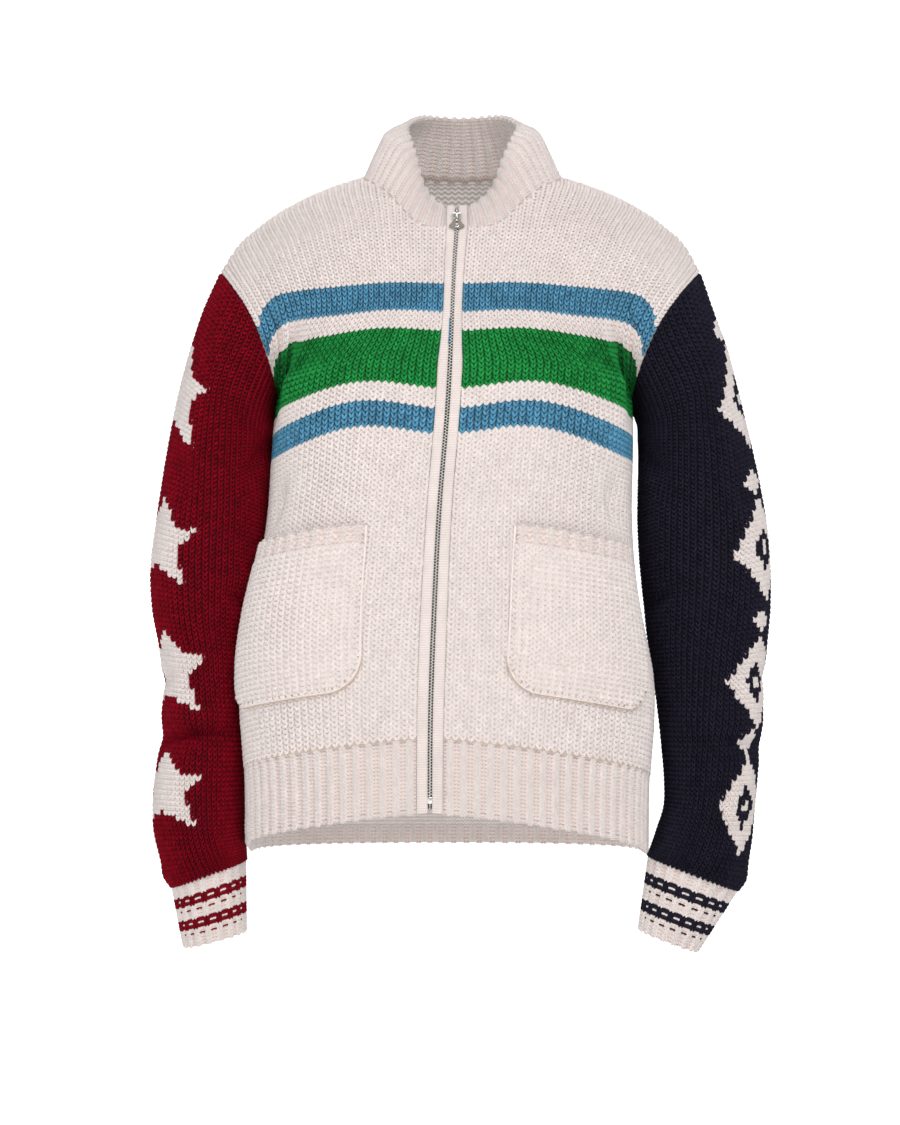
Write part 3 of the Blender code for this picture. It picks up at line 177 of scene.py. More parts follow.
RingRow = namedtuple("RingRow", "along outer_x outer_z inner_x inner_z y half_depth")
RIGHT_SLEEVE = table(RingRow, [
    (40, -245, -105, -178.2, -217, 2, 80), (81, -258, -144, -178.5, -234, 3, 79),
    (127, -270, -188, -179.0, -256, 4, 77), (172, -279, -232, -181.0, -284, 6, 75),
    (213, -286, -272, -183.0, -314, 8, 74), (252, -292, -311, -186.5, -345, 10, 73),
    (306, -298, -365, -192.0, -388, 12, 72), (340, -296, -399, -198.0, -417, 13, 70),
    (380, -289, -438, -201.0, -450, 14, 67), (419, -286, -477, -203.0, -486, 13, 65),
    (459, -286, -517, -203.5, -522, 12, 63), (488, -291, -546, -205.0, -550, 10, 63),
    (527, -295, -585, -207.0, -586, 7, 63), (557, -294, -615, -208.0, -612, 4, 62),
    (587, -286, -645, -206.0, -631, 2, 57), (613, -276, -668, -205.0, -643, 0, 49),
])
RIGHT_CUFF_END = RingRow(673, -266, -727, -204.0, -711, -4, 41)
LEFT_SLEEVE = table(RingRow, [
    (38, 252, -107, 179.5, -217, 2, 80), (79, 266, -146, 180.5, -234, 3, 79),
    (122, 277, -188, 181.0, -256, 4, 77), (168, 288, -232, 180.5, -284, 6, 76),
    (209, 297, -272, 180.5, -314, 8, 75), (249, 304, -311, 182.0, -345, 9, 74),
    (303, 308.5, -365, 186.0, -388, 10, 73), (337, 308, -399, 189.0, -417, 10, 71),
    (376, 304.5, -438, 193.5, -450, 10, 68), (425, 301, -487, 199.5, -491, 9, 65),
    (468, 298, -530, 204.0, -533, 8, 63), (503, 295, -565, 206.5, -565, 6, 62),
    (533, 292, -595, 206.0, -591, 4, 62), (563, 289, -625, 199.0, -613, 1, 61),
    (588, 284, -650, 193.0, -630, -1, 57), (610, 275, -671, 189.0, -639, -3, 50),
])
LEFT_CUFF_END = RingRow(676, 238, -731, 179.0, -709, -8, 38)

CollarRow = namedtuple("CollarRow", "fraction inward rise")
COLLAR = table(CollarRow, [
    (0.00, 37, 23), (0.06, 37, 28), (0.12, 37, 37),
    (0.20, 36, 47), (0.28, 35, 53), (0.40, 27, 57),
    (0.50, 22, 58),
])
SwellRow = namedtuple("SwellRow", "share everywhere sides")
COLLAR_SWELL = table(SwellRow, [
    (0.00, 0.0, 0.0), (0.40, 2.5, 4.0), (0.80, 2.0, 6.5),
    (1.00, 0.0, 0.0),
])

# Soft folds and creases: a trough or ridge along a line, in millimetres along and
# across the cloth. They die away at both ends.
Fold = namedtuple("Fold", "row0 col0 row1 col1 width depth")
FRONT_FOLDS = table(Fold, [
    (300, 0.80 * HALF_WIDTH, 455, 0.83 * HALF_WIDTH, 13.4, -9.0),
    (290, 0.69 * HALF_WIDTH, 440, 0.70 * HALF_WIDTH, 12.0, 2.5),
    (195, 0.78 * HALF_WIDTH, 280, 0.63 * HALF_WIDTH, 16.0, -5.0),
    (325, 0.860 * HALF_WIDTH, 480, 0.865 * HALF_WIDTH, 5.5, 3.2),
    (325, 0.905 * HALF_WIDTH, 480, 0.912 * HALF_WIDTH, 6.5, -6.0),
    (206, 0.72 * HALF_WIDTH, 262, 0.66 * HALF_WIDTH, 9.0, -3.5),
    (60, 0.86 * HALF_WIDTH, 190, 0.90 * HALF_WIDTH, 13.0, -4.0),
])
BACK_FOLDS = table(Fold, [
    (280, 0.78 * HALF_WIDTH, 450, 0.82 * HALF_WIDTH, 16.0, -7.0),
    (150, 0.55 * HALF_WIDTH, 250, 0.85 * HALF_WIDTH, 14.0, -4.0),
    (20, 0.30 * HALF_WIDTH, 120, 0.50 * HALF_WIDTH, 16.0, -3.5),
])
# On a sleeve the columns are degrees round it, each little more than a millimetre.
SLEEVE_FOLDS = {
    -1: table(Fold, [
        (470, -20, 452, 160, 7.0, -10.0), (447, -20, 430, 160, 12.0, 6.0),
        (602, -100, 602, 100, 12.0, 4.2),
        (492, 20, 486, 150, 12.0, 3.5), (420, -30, 396, 70, 10.0, -4.0),
        (300, 95, 332, 190, 9.0, -5.0), (276, 100, 300, 190, 11.0, 3.0),
        (70, 165, 210, 110, 13.0, -6.0), (150, 30, 250, 75, 16.0, -3.0),
        (560, 10, 552, 120, 9.0, -3.5), (440, 200, 462, 330, 10.0, -5.5),
        (250, 200, 282, 310, 12.0, -4.5), (350, 215, 366, 330, 12.0, -4.0),
        (70, 195, 190, 250, 13.0, -5.0),
    ]),
    1: table(Fold, [
        (474, -20, 458, 150, 9.0, -6.5), (448, -20, 434, 150, 13.0, 4.0),
        (600, -100, 600, 100, 12.0, 4.2),
        (410, -30, 388, 80, 10.0, -3.5), (290, 100, 322, 190, 10.0, -5.0),
        (70, 165, 210, 110, 13.0, -6.0), (160, 25, 262, 70, 16.0, -3.0),
        (548, 10, 540, 120, 9.0, -3.5), (430, 200, 452, 330, 10.0, -5.5),
        (240, 200, 272, 310, 12.0, -4.5), (345, 215, 361, 330, 12.0, -4.0),
        (70, 195, 190, 250, 13.0, -5.0),
    ]),
}


# --------------------------------------------------------------------------
# Reading tables and shaping arrays


def column(rows: Sequence, name: str) -> Array:
    """One named column of a table, as an array."""
    return np.array([getattr(row, name) for row in rows], float)


def smooth(rows: Sequence, name: str, where: Array | float) -> Array:
    """Read a column anywhere, on a cubic Hermite curve through every row.

    Args:
        rows: The table.
        name: The column that is read.
        where: Places along the table's first column.

    Returns:
        The column's value at each place.
    """
    knots, values = column(rows, rows[0]._fields[0]), column(rows, name)
    slopes = np.gradient(values, knots)
    low = np.clip(np.searchsorted(knots, where) - 1, 0, len(knots) - 2)
    step = knots[low + 1] - knots[low]
    t = np.clip((where - knots[low]) / step, 0.0, 1.0)
    start, end = (1 + 2 * t) * (1 - t) ** 2, t * t * (3 - 2 * t)
    leave, arrive = t * (1 - t) ** 2 * step, t * t * (t - 1) * step
    return (values[low] * start + values[low + 1] * end
            + slopes[low] * leave + slopes[low + 1] * arrive)


def front_edge(heights: Array) -> Array:
    """The fraction across at which a front's edge lies, at each height."""
    return np.interp(heights, column(FRONT_NECK, "height"), column(FRONT_NECK, "fraction"))


def back_edge(fractions: Array) -> Array:
    """The height at which the back's neck lies, at each fraction across."""
    return np.interp(fractions, column(BACK_NECK, "fraction"), column(BACK_NECK, "height"))


def cells(across: Array, along: Array) -> tuple[Array, Array]:
    """Every place across with every place along, as two flat arrays."""
    col, row = np.meshgrid(across, along)
    return col.reshape(-1), row.reshape(-1)


def ease(value: Array) -> Array:
    """Rise smoothly from 0 to 1 as the value does: v * v * (3 - 2 v)."""
    value = np.clip(value, 0.0, 1.0)
    return value * value * (3 - 2 * value)


def hill(value: Array, start: float, rise: float, end: float, fall: float) -> Array:
    """Ease from 0 to 1 from a start, and back to 0 from an end, each over its own reach."""
    return ease((value - start) / rise) * (1 - ease((value - end) / fall))


def powered(value: Array, power: Array | float) -> Array:
    """Raise a magnitude to a power and keep its sign."""
    return np.sign(value) * np.abs(value) ** power


def rounded(half_x: float, half_y: float, power_x: float, power_y: float, count: int) -> Array:
    """Points round a squared-off ellipse: half_x * cos^power_x and half_y * sin^power_y."""
    turn = np.linspace(0, 2 * np.pi, count, endpoint=False)
    return np.column_stack([half_x * powered(np.cos(turn), power_x),
                            half_y * powered(np.sin(turn), power_y)])


def unit(vectors: Array) -> Array:
    """Scale vectors along the last axis to length one."""
    return vectors / np.maximum(np.linalg.norm(vectors, axis=-1, keepdims=True), 1e-9)


def between(places: Array, knots: Array, points: Array) -> Array:
    """Points on the straight runs between known points, at places among their knots."""
    return np.stack([np.interp(places, knots, points[:, k]) for k in range(3)], axis=-1)


def walked_share(points: Array) -> Array:
    """How far along a run of points each one lies, from 0 to 1."""
    steps = np.linalg.norm(np.diff(points, axis=0), axis=1)
    return np.concatenate([[0.0], np.cumsum(steps)]) / steps.sum()


@dataclass
class Surface:
    """A piece of cloth's outer face, known on a dense grid and read anywhere on it.

    Attributes:
        rows: Places along the knitting, one for each grid row.
        columns: Places across it, one for each grid column.
        points: The grid's points, in millimetres.
        normals: Unit directions out of the cloth.
    """

    rows: Array
    columns: Array
    points: Array
    normals: Array

    def read(self, grid: Array, row: Array, col: Array) -> Array:
        """Blend the four grid values round each place, in proportion to its nearness.

        Args:
            grid: What is read, a value for each grid point.
            row: Places along the knitting.
            col: Places across it.

        Returns:
            The value at each place.
        """
        i = np.clip(np.searchsorted(self.rows, row) - 1, 0, len(self.rows) - 2)
        j = np.clip(np.searchsorted(self.columns, col) - 1, 0, len(self.columns) - 2)
        u = ((row - self.rows[i]) / (self.rows[i + 1] - self.rows[i]))[..., None]
        v = ((col - self.columns[j]) / (self.columns[j + 1] - self.columns[j]))[..., None]
        return ((grid[i, j] * (1 - v) + grid[i, j + 1] * v) * (1 - u)
                + (grid[i + 1, j] * (1 - v) + grid[i + 1, j + 1] * v) * u)

    def at(self, row: Array | float, col: Array | float) -> tuple[Array, Array]:
        """Points and unit normals at rows and columns.

        Args:
            row: Places along the knitting.
            col: Places across it, broadcast against the rows.

        Returns:
            The points and the normals there.
        """
        row, col = np.broadcast_arrays(np.asarray(row, float), np.asarray(col, float))
        return self.read(self.points, row, col), unit(self.read(self.normals, row, col))

    def outward(self) -> bool:
        """Whether columns crossed with rows point out of the cloth."""
        i, j = len(self.rows) // 3, len(self.columns) // 3
        across = self.points[i, j + 1] - self.points[i, j]
        up = self.points[i + 1, j] - self.points[i, j]
        return float(np.dot(np.cross(across, up), self.normals[i, j])) > 0


def grid_normals(points: Array, flip: bool) -> Array:
    """Unit normals of a grid: the cross product of its two directions of travel."""
    up = np.gradient(points, axis=0)
    across = np.gradient(points, axis=1)
    return unit(np.cross(across, up)) * (-1 if flip else 1)


def fold_depth(folds: Sequence[Fold], row: Array, col: Array) -> Array:
    """How far folds push the cloth out at each place.

    A fold's depth falls off as exp(-(distance / width)^2) from its line, and as
    sin^2 towards the line's two ends.

    Args:
        folds: The folds on this cloth.
        row: Millimetres along the knitting.
        col: Millimetres across it.

    Returns:
        Millimetres outwards at each place, negative in a trough.
    """
    total = np.zeros(np.broadcast(row, col).shape)
    for fold in folds:
        run = np.array([fold.row1 - fold.row0, fold.col1 - fold.col0], float)
        length = np.hypot(*run)
        along = ((row - fold.row0) * run[0] + (col - fold.col0) * run[1]) / length ** 2
        away = ((row - fold.row0) * run[1] - (col - fold.col0) * run[0]) / length
        fade = np.sin(np.pi * np.clip(along, 0, 1)) ** 2
        total = total + fold.depth * fade * np.exp(-(away / fold.width) ** 2)
    return total


# --------------------------------------------------------------------------
# The garment's surfaces


@dataclass
class BodyShape:
    """The body: four quarters, each read by knitting height and fraction across.

    Each level is an arc of a squared-off ellipse, |x/a|^n + |y/b|^n = 1, from the zip
    line (or the middle of the back) to the side seam or the armhole's edge. The fields
    give the armhole's top, foot, depths and hollows, how its courses lift and sag, how
    the arms press on the sides, how the cloth falls under them, and the grid's size.
    """

    top: tuple = (234.0, 0.0, -69.0)
    foot: tuple = (173.5, 5.0, -200.0)
    front_depth: float = 80.0
    back_depth: float = 78.0
    front_hollow: float = 15.0
    back_hollow: float = 8.0
    narrow: float = 1.6
    lift: float = 57.0
    lift_hill: tuple = (340, 80, 450, 110)
    sag: float = 6.0
    sag_hill: tuple = (200, 80, 320, 50)
    sag_at: float = 0.72
    sag_reach: float = 0.16
    press_y: float = 8.0
    press_reach: float = 40.0
    fall: float = 0.12
    fall_start: float = 0.72
    fall_reach: float = 35.0
    arch_reach: float = 0.6
    ridge_height: float = 495.0
    ridge_start: float = 0.2
    levels: int = 330
    steps: int = 200
    level_share: float = 0.62
    quarters: dict = field(default_factory=dict)

    def armhole_point(self, side: int, front: bool, angle: Array) -> tuple[Array, Array, Array]:
        """A point of the armhole's loop, from its top (0 degrees) to its foot (180).

        Args:
            side: -1 for the right side and 1 for the left.
            front: Whether it is the front half.
            angle: Degrees from its top.

        Returns:
            The points' x, y and z.
        """
        angle = np.radians(angle)
        top, foot = np.array(self.top), np.array(self.foot)
        middle, arm = (top + foot) / 2, (top - foot) / 2
        depth = -self.front_depth if front else self.back_depth
        hollow = self.front_hollow if front else self.back_hollow
        narrow = 1 + self.narrow * np.maximum(-np.cos(angle), 0)
        x = middle[0] + arm[0] * np.cos(angle) - hollow * np.sin(angle) ** 2
        y = middle[1] + arm[1] * np.cos(angle) + depth * np.abs(np.sin(angle)) ** narrow
        return side * x, y, middle[2] + arm[2] * np.cos(angle)

    def armhole_loop(self, side: int, turns: Array) -> Array:
        """World points round the armhole; turns run from 0 to 360, front first.

        Args:
            side: -1 for the right side and 1 for the left.
            turns: Degrees round it.

        Returns:
            The points.
        """
        front = turns <= 180
        angle = np.where(front, turns, 360 - turns)
        places = np.where(front[:, None],
                          np.stack(self.armhole_point(side, True, angle), axis=-1),
                          np.stack(self.armhole_point(side, False, angle), axis=-1))
        places[:, 0] += smooth(LEAN, "centre_x", places[:, 2])
        return places

    def section(self, side: int, front: bool) -> tuple[Array, Array, Array]:
        """One quarter before its folds.

        Args:
            side: -1 for the right side and 1 for the left.
            front: Whether it is a front.

        Returns:
            The levels' heights, the fractions across, and the points.
        """
        low_levels = int(self.levels * self.level_share)
        heights = np.concatenate([
            np.linspace(-HEM_DEPTH, UNDERARM, low_levels),
            np.linspace(UNDERARM, SHOULDER, self.levels - low_levels + 1)[1:]])
        name = "front" if front else "back"
        middle_z, middle_y, power = (smooth(CENTRE, f"{name}_{part}", heights)
                                     for part in ("z", "y", "power"))
        square = 2.0 / smooth(CENTRE, "square", heights)
        arch = smooth(CENTRE, "arch", heights) if front else 0 * heights

        upper = heights >= UNDERARM
        high = np.maximum(heights, UNDERARM)
        angle = smooth(ARMHOLE, "angle", high)
        seam_x, seam_y, seam_z = self.armhole_point(1, front, angle)
        end = np.where(upper, smooth(ARMHOLE, "section", high), 90.0)
        end_sin = np.sin(np.radians(end)) ** square
        end_cos = np.maximum(np.cos(np.radians(end)), 0) ** square

        low = np.minimum(heights, UNDERARM)
        side_y = smooth(SIDE, "y", low)
        half_width = np.where(upper, seam_x / end_sin, smooth(SIDE, "half_width", low))
        centre_y = np.where(upper, middle_y + (seam_y - middle_y) / (1 - end_cos), side_y)
        half_depth = (centre_y - middle_y) * (1 if front else -1)
        other = smooth(CENTRE, ("back" if front else "front") + "_y", heights)
        other_depth = np.where(upper, half_depth, np.abs(other - side_y))
        edge_z = np.where(upper, seam_z, smooth(SIDE, "z", low))
        twist = smooth(SIDE, "twist", low) * (-side if front else side)
        last = end + np.where(upper, 0.0, twist)
        press = np.where(upper, 0.0, smooth(SIDE, "press", low))

        centre_x = smooth(LEAN, "centre_x", middle_z)
        zip_x = smooth(LEAN, "zip_x", middle_z)
        start_sin = side * (zip_x - centre_x) / half_width if front else 0 * heights
        first = np.degrees(np.arcsin(powered(start_sin, 1 / square)))

        steps = np.linspace(0.0, 1.0, self.steps)
        turn = np.radians(first[:, None] + (last - first)[:, None] * steps[None, :])
        x = half_width[:, None] * powered(np.sin(turn), square[:, None])
        cos = powered(np.cos(turn), square[:, None])
        depth = np.where(cos >= 0, half_depth[:, None], other_depth[:, None])
        y = centre_y[:, None] + (-1 if front else 1) * depth * cos
        nearness = np.exp(-((y - self.press_y) / self.press_reach) ** 2)
        x = x - press[:, None] * nearness * np.sin(turn)

        x, y = self.evened(x, y, steps)
        near = np.clip((steps - self.fall_start) / (1 - self.fall_start), 0, 1)
        about = np.exp(-((heights - UNDERARM) / self.fall_reach) ** 2)
        fall = steps[None, :] ** power[:, None]
        fall += self.fall * np.sin(np.pi * near)[None, :] ** 2 * about[:, None]
        z = middle_z[:, None] + (edge_z - middle_z)[:, None] * fall
        rise = np.sin(np.pi * np.clip(steps / self.arch_reach, 0, 1)) ** 2
        z = z + arch[:, None] * rise[None, :]
        x = side * x + smooth(LEAN, "centre_x", z)
        return heights, steps, self.to_ridge(np.stack([x, y, z], axis=-1), side, heights, steps)

    @staticmethod
    def evened(x: Array, y: Array, steps: Array) -> tuple[Array, Array]:
        """Set each level's points at even steps along its own arc.

        Args:
            x: Places across, one row for each level.
            y: Places from front to back.
            steps: Shares of the arc's length.

        Returns:
            The new places.
        """
        step = np.hypot(np.diff(x, axis=1), np.diff(y, axis=1))
        walked = np.concatenate([np.zeros((len(x), 1)), np.cumsum(step, axis=1)], axis=1)
        walked /= walked[:, -1:]
        return tuple(np.stack([np.interp(steps, walk, row) for walk, row in zip(walked, part)])
                     for part in (x, y))

    def to_ridge(self, points: Array, side: int, heights: Array, steps: Array) -> Array:
        """Draw the highest levels over to the shoulder's ridge, with an eased share.

        Args:
            points: The quarter's points.
            side: -1 for the right side and 1 for the left.
            heights: The levels.
            steps: The fractions across.

        Returns:
            The points moved.
        """
        ridge = np.stack([side * smooth(RIDGE, "x", steps),
                          smooth(RIDGE, "y", steps),
                          smooth(RIDGE, "z", steps)], axis=-1)
        ridge[:, 0] += smooth(LEAN, "centre_x", ridge[:, 2])
        reach = ease((heights - self.ridge_height) / (SHOULDER - self.ridge_height))
        spread = ease((steps - self.ridge_start) / (NECK_SHOULDER - self.ridge_start))
        return points + (reach[:, None] * spread[None, :])[..., None] * (ridge - points[-1])[None]

    def lifted(self, heights: Array, fractions: Array) -> Array:
        """Where a front's courses really lie: they run level up to the armhole's crease.

        Above the chest a course is lifted by lift * (t^6 - t^14) at fraction t across, and
        below it sags by a soft bell, so that the stripes stay straight over the curve.
        """
        upper = hill(heights, *self.lift_hill)
        bell = np.exp(-((fractions - self.sag_at) / self.sag_reach) ** 2)
        sag = hill(heights, *self.sag_hill) * bell
        return heights + self.lift * upper * (fractions ** 6 - fractions ** 14) - self.sag * sag

    def quarter(self, side: int, front: bool) -> Surface:
        """One quarter as a readable surface, folds included; made once and kept.

        Args:
            side: -1 for the right side and 1 for the left.
            front: Whether it is a front.

        Returns:
            The quarter's outer face.
        """
        if (side, front) not in self.quarters:
            heights, steps, points = self.section(side, front)
            normals = grid_normals(points, (side < 0) == front)
            folds = FRONT_FOLDS if front else BACK_FOLDS
            depth = fold_depth(folds, heights[:, None], steps[None, :] * HALF_WIDTH)
            points = points + depth[..., None] * normals
            normals = grid_normals(points, (side < 0) == front)
            self.quarters[side, front] = Surface(heights, steps, points, normals)
        return self.quarters[side, front]


@dataclass
class SleeveShape:
    """One sleeve: rings along the arm, read by distance along it and turn round it.

    Each ring is a squared-off ellipse through its outer and inner points. Near the
    armhole the rings are drawn over to the armhole's own loop.
    """

    side: int
    rows: list
    end: RingRow
    body: BodyShape
    square: float = 2.15
    blend: float = 95.0
    levels: int = 330
    turns: int = 240
    cuff_places: int = 457
    cuff_rows: int = 24

    def ring(self, row: RingRow, turns: Array) -> Array:
        """Points of a ring: centre + cos^(2/n) * arm + sin^(2/n) * fore.

        Args:
            row: The ring's sizes.
            turns: Degrees round it, 0 at its outer side.

        Returns:
            The points.
        """
        angle = np.radians(turns)
        outer = np.array([row.outer_x, row.y, row.outer_z])
        inner = np.array([row.inner_x, row.y, row.inner_z])
        cos = powered(np.cos(angle), 2 / self.square)
        sin = powered(np.sin(angle), 2 / self.square)
        fore = np.array([0.0, -row.half_depth, 0.0])
        return (outer + inner) / 2 + cos[:, None] * (outer - inner) / 2 + sin[:, None] * fore

    def surface(self) -> Surface:
        """The sleeve's outer face, from the armhole to the cuff, folds included.

        Returns:
            The face, with rows in millimetres and columns in degrees.
        """
        turns = np.linspace(0, 360, self.turns + 1)
        loop = self.body.armhole_loop(self.side, turns)
        top, foot = loop[0], loop[self.turns // 2]
        first = RingRow(0, top[0], top[2], foot[0], foot[2], (top[1] + foot[1]) / 2,
                        self.body.front_depth)
        rings = [first] + self.rows
        places = np.linspace(0, self.rows[-1].along, self.levels)
        fields = {name: smooth(rings, name, places) for name in RingRow._fields[1:]}
        points = np.stack([
            self.ring(RingRow(0, *(fields[name][k] for name in RingRow._fields[1:])), turns)
            for k in range(len(places))])
        fade = 1 - ease(places / self.blend)
        points = points + fade[:, None, None] * (loop - points[0])[None]
        normals = grid_normals(points, self.side < 0)
        folds = SLEEVE_FOLDS[self.side]
        depth = sum(fold_depth(folds, places[:, None], turns[None, :] + whole)
                    for whole in (-360, 0, 360))
        points = points + depth[..., None] * normals
        normals = grid_normals(points, self.side < 0)
        normals[:, 0] = unit(normals[:, 0] + normals[:, -1])
        normals[:, -1] = normals[:, 0]
        return Surface(places, turns, points, normals)

    def cuff(self, sleeve: Surface) -> Surface:
        """The cuff's outer face: rows in millimetres down it, columns from 0 to 1 round it.

        Each row lies on the straight line from the sleeve's end to the cuff's own end.

        Args:
            sleeve: The sleeve's outer face.

        Returns:
            The cuff's.
        """
        share = np.linspace(0, 1, self.cuff_places)
        top = between(share, walked_share(sleeve.points[-1]), sleeve.points[-1])
        top_way = unit(between(share, walked_share(sleeve.points[-1]), sleeve.normals[-1]))
        foot = self.ring(self.end, np.linspace(0, 360, self.turns + 1))
        foot = between(share, walked_share(foot), foot)
        middle = foot[:-1].mean(axis=0)
        run = np.gradient(foot, axis=0)
        run[[0, -1]] = run[0] + run[-1]
        plane = unit(np.cross(foot - middle, run).sum(axis=0))
        out = unit(np.cross(run, plane))
        out *= np.sign((out * (foot - middle)).sum(axis=1, keepdims=True))
        down = np.linspace(0, 1, self.cuff_rows)[:, None, None]
        points = top[None] + (foot - top)[None] * down
        normals = unit(top_way[None] * (1 - down) + out[None] * down)
        length = float(np.linalg.norm(foot - top, axis=1).mean())
        return Surface(down[:, 0, 0] * length, share, points, normals)


@dataclass
class CollarShape:
    """The stand collar: read by share of its height and fraction round the neck."""

    body: BodyShape
    axis: tuple = (5.0, 4.0)
    straight: float = 0.09
    even: float = 15 / 130
    turn: float = 2.0
    proud: float = 0.6
    count: int = 689

    def neck(self) -> tuple[Array, Array]:
        """The neck's edge from the right front round the back to the left, with normals.

        Returns:
            Points along the edge and the cloth's direction at each.
        """
        heights = np.linspace(FRONT_NECK[0].height, SHOULDER, 80)
        start = front_edge(heights)
        across = np.linspace(NECK_SHOULDER, 0, 60)
        top = back_edge(across)
        parts = [self.body.quarter(-1, True).at(heights, start),
                 self.body.quarter(-1, False).at(top[1:], across[1:]),
                 self.body.quarter(1, False).at(top[-2::-1], across[-2::-1]),
                 self.body.quarter(1, True).at(heights[-2::-1], start[-2::-1])]
        return (np.concatenate([points for points, _ in parts]),
                np.concatenate([ways for _, ways in parts]))

    def evened(self, points: Array) -> Array:
        """Average each point of a run with its neighbours; the ends keep their places.

        Args:
            points: The run.

        Returns:
            The run, evened.
        """
        half = int(self.even * self.count) // 2
        before = 2 * points[0] - points[half:0:-1]
        after = 2 * points[-1] - points[-2:-half - 2:-1]
        sums = np.cumsum(np.concatenate([np.zeros((1, 3)), before, points, after]), axis=0)
        return (sums[2 * half + 1:] - sums[:-2 * half - 1]) / (2 * half + 1)

    def surface(self) -> Surface:
        """The collar's outer face, from its seam (0) to its top (1).

        Returns:
            The face.
        """
        edge, edge_way = self.neck()
        places = np.linspace(0, 1, self.count)
        seam = between(places, walked_share(edge), edge)
        seam_way = unit(self.evened(between(places, walked_share(edge), edge_way)))
        half = np.minimum(places, 1 - places)
        inward = smooth(COLLAR, "inward", half)
        rise = smooth(COLLAR, "rise", half)
        aim = np.zeros_like(seam)
        aim[:, 0] = (self.axis[0] - seam[:, 0]) * ease(half / self.straight)
        aim[:, 1] = self.axis[1] - seam[:, 1]
        top = seam + unit(aim) * inward[:, None] + np.array([0, 0, 1.0]) * rise[:, None]
        top = self.evened(top)
        top_way = self.evened(unit(np.cross(top - seam, np.gradient(top, axis=0))))
        top_way[[0, -1], 0] = 0.0
        seam_way[[0, -1], 0] = 0.0
        top_way, seam_way = unit(top_way), unit(seam_way)
        shares = np.linspace(0, 1, 25)
        rows, ways = [], []
        for share in shares:
            way = unit(seam_way * (1 - share) + self.turn * top_way * share)
            swell = (smooth(COLLAR_SWELL, "everywhere", share)
                     + smooth(COLLAR_SWELL, "sides", share) * np.sin(2 * np.pi * half) ** 2)
            rows.append(seam + (top - seam) * share + (swell + self.proud)[:, None] * way)
            ways.append(way)
        return Surface(shares, places, np.stack(rows), np.stack(ways))


# --------------------------------------------------------------------------
# Finishes


class Yarn(Enum):
    """The yarns' colours, linear red, green and blue."""

    CREAM = (0.665, 0.598, 0.576)
    BLUE = (0.104, 0.312, 0.485)
    GREEN = (0.0165, 0.285, 0.058)
    BURGUNDY = (0.225, 0.0008, 0.010)
    NAVY = (0.0175, 0.0155, 0.029)
    TAN = (0.60, 0.46, 0.35)


class Net:
    """A short way to add and join a material's nodes."""

    def __init__(self, name: str) -> None:
        """Start a material with only its shader and output."""
        self.material = bpy.data.materials.new(name)
        self.material.use_nodes = True
        self.tree = self.material.node_tree
        self.shader = self.tree.nodes["Principled BSDF"]

    def node(self, kind: str, **settings: object) -> bpy.types.Node:
        """Add a node; settings that name a socket set its value, the rest its properties.

        Args:
            kind: The node's type.
            settings: Values by the names of sockets or properties.

        Returns:
            The node.
        """
        made = self.tree.nodes.new(kind)
        for key, value in settings.items():
            label = key.replace("_", " ")
            if label in made.inputs:
                made.inputs[label].default_value = value
            else:
                setattr(made, key, value)
        return made

    def link(self, source: bpy.types.NodeSocket, target: bpy.types.NodeSocket) -> None:
        """Join two sockets."""
        self.tree.links.new(source, target)

    def finish(self, **values: object) -> None:
        """Set the shader's own sockets, each named with _ for a space."""
        for key, value in values.items():
            self.shader.inputs[key.replace("_", " ")].default_value = value

    def noise(self, **settings: float) -> bpy.types.NodeSocket:
        """Add a noise that is fixed to the object."""
        made = self.node("ShaderNodeTexNoise", **settings)
        self.link(self.node("ShaderNodeTexCoord").outputs["Object"], made.inputs["Vector"])
        return made.outputs["Fac"]

    def ramp(self, tone: bpy.types.NodeSocket, low: Array, high: Array,
             ends: tuple[float, float] = (0.0, 1.0)) -> bpy.types.NodeSocket:
        """Add a ramp between two colours.

        Args:
            tone: What is read.
            low: The colour at the lower end.
            high: The colour at the upper end.
            ends: The tones of the two ends.

        Returns:
            The ramp's colour.
        """
        made = self.node("ShaderNodeValToRGB")
        for element, end, colour in zip(made.color_ramp.elements, ends, (low, high)):
            element.position = end
            element.color = (*np.minimum(colour, 1.0), 1.0)
        self.link(tone, made.inputs["Fac"])
        return made.outputs["Color"]

    def bump(self, height: bpy.types.NodeSocket, strength: float, distance: float,
             under: bpy.types.NodeSocket | None = None) -> bpy.types.NodeSocket:
        """Add a bump, on top of another one where that is given.

        Args:
            height: What is raised.
            strength: How much of it shows, from 0 to 1.
            distance: How high it is, in metres.
            under: The other bump's normal.

        Returns:
            The bump's normal.
        """
        made = self.node("ShaderNodeBump", Strength=strength, Distance=distance)
        self.link(height, made.inputs["Height"])
        if under is not None:
            self.link(under, made.inputs["Normal"])
        return made.outputs["Normal"]

    def span(self, source: bpy.types.NodeSocket, **ends: float) -> bpy.types.NodeSocket:
        """Map a value from one range to another and hold it there."""
        made = self.node("ShaderNodeMapRange", **ends)
        self.link(source, made.inputs["Value"])
        return made.outputs["Result"]

    def sum(self, operation: str, *terms: object) -> bpy.types.NodeSocket:
        """Add a Math node; each term is a number or another node's socket.

        Args:
            operation: What is worked out.
            terms: What it is worked out from.

        Returns:
            The result.
        """
        made = self.node("ShaderNodeMath", operation=operation)
        for place, term in zip(made.inputs, terms):
            if isinstance(term, (int, float)):
                place.default_value = term
            else:
                self.link(term, place)
        return made.outputs[0]


class Look(Enum):
    """What a woollen piece is: legs of yarn, a knitted core, or a fine ridged facing."""

    YARN = 1
    KNITTED = 2
    RIDGED = 3


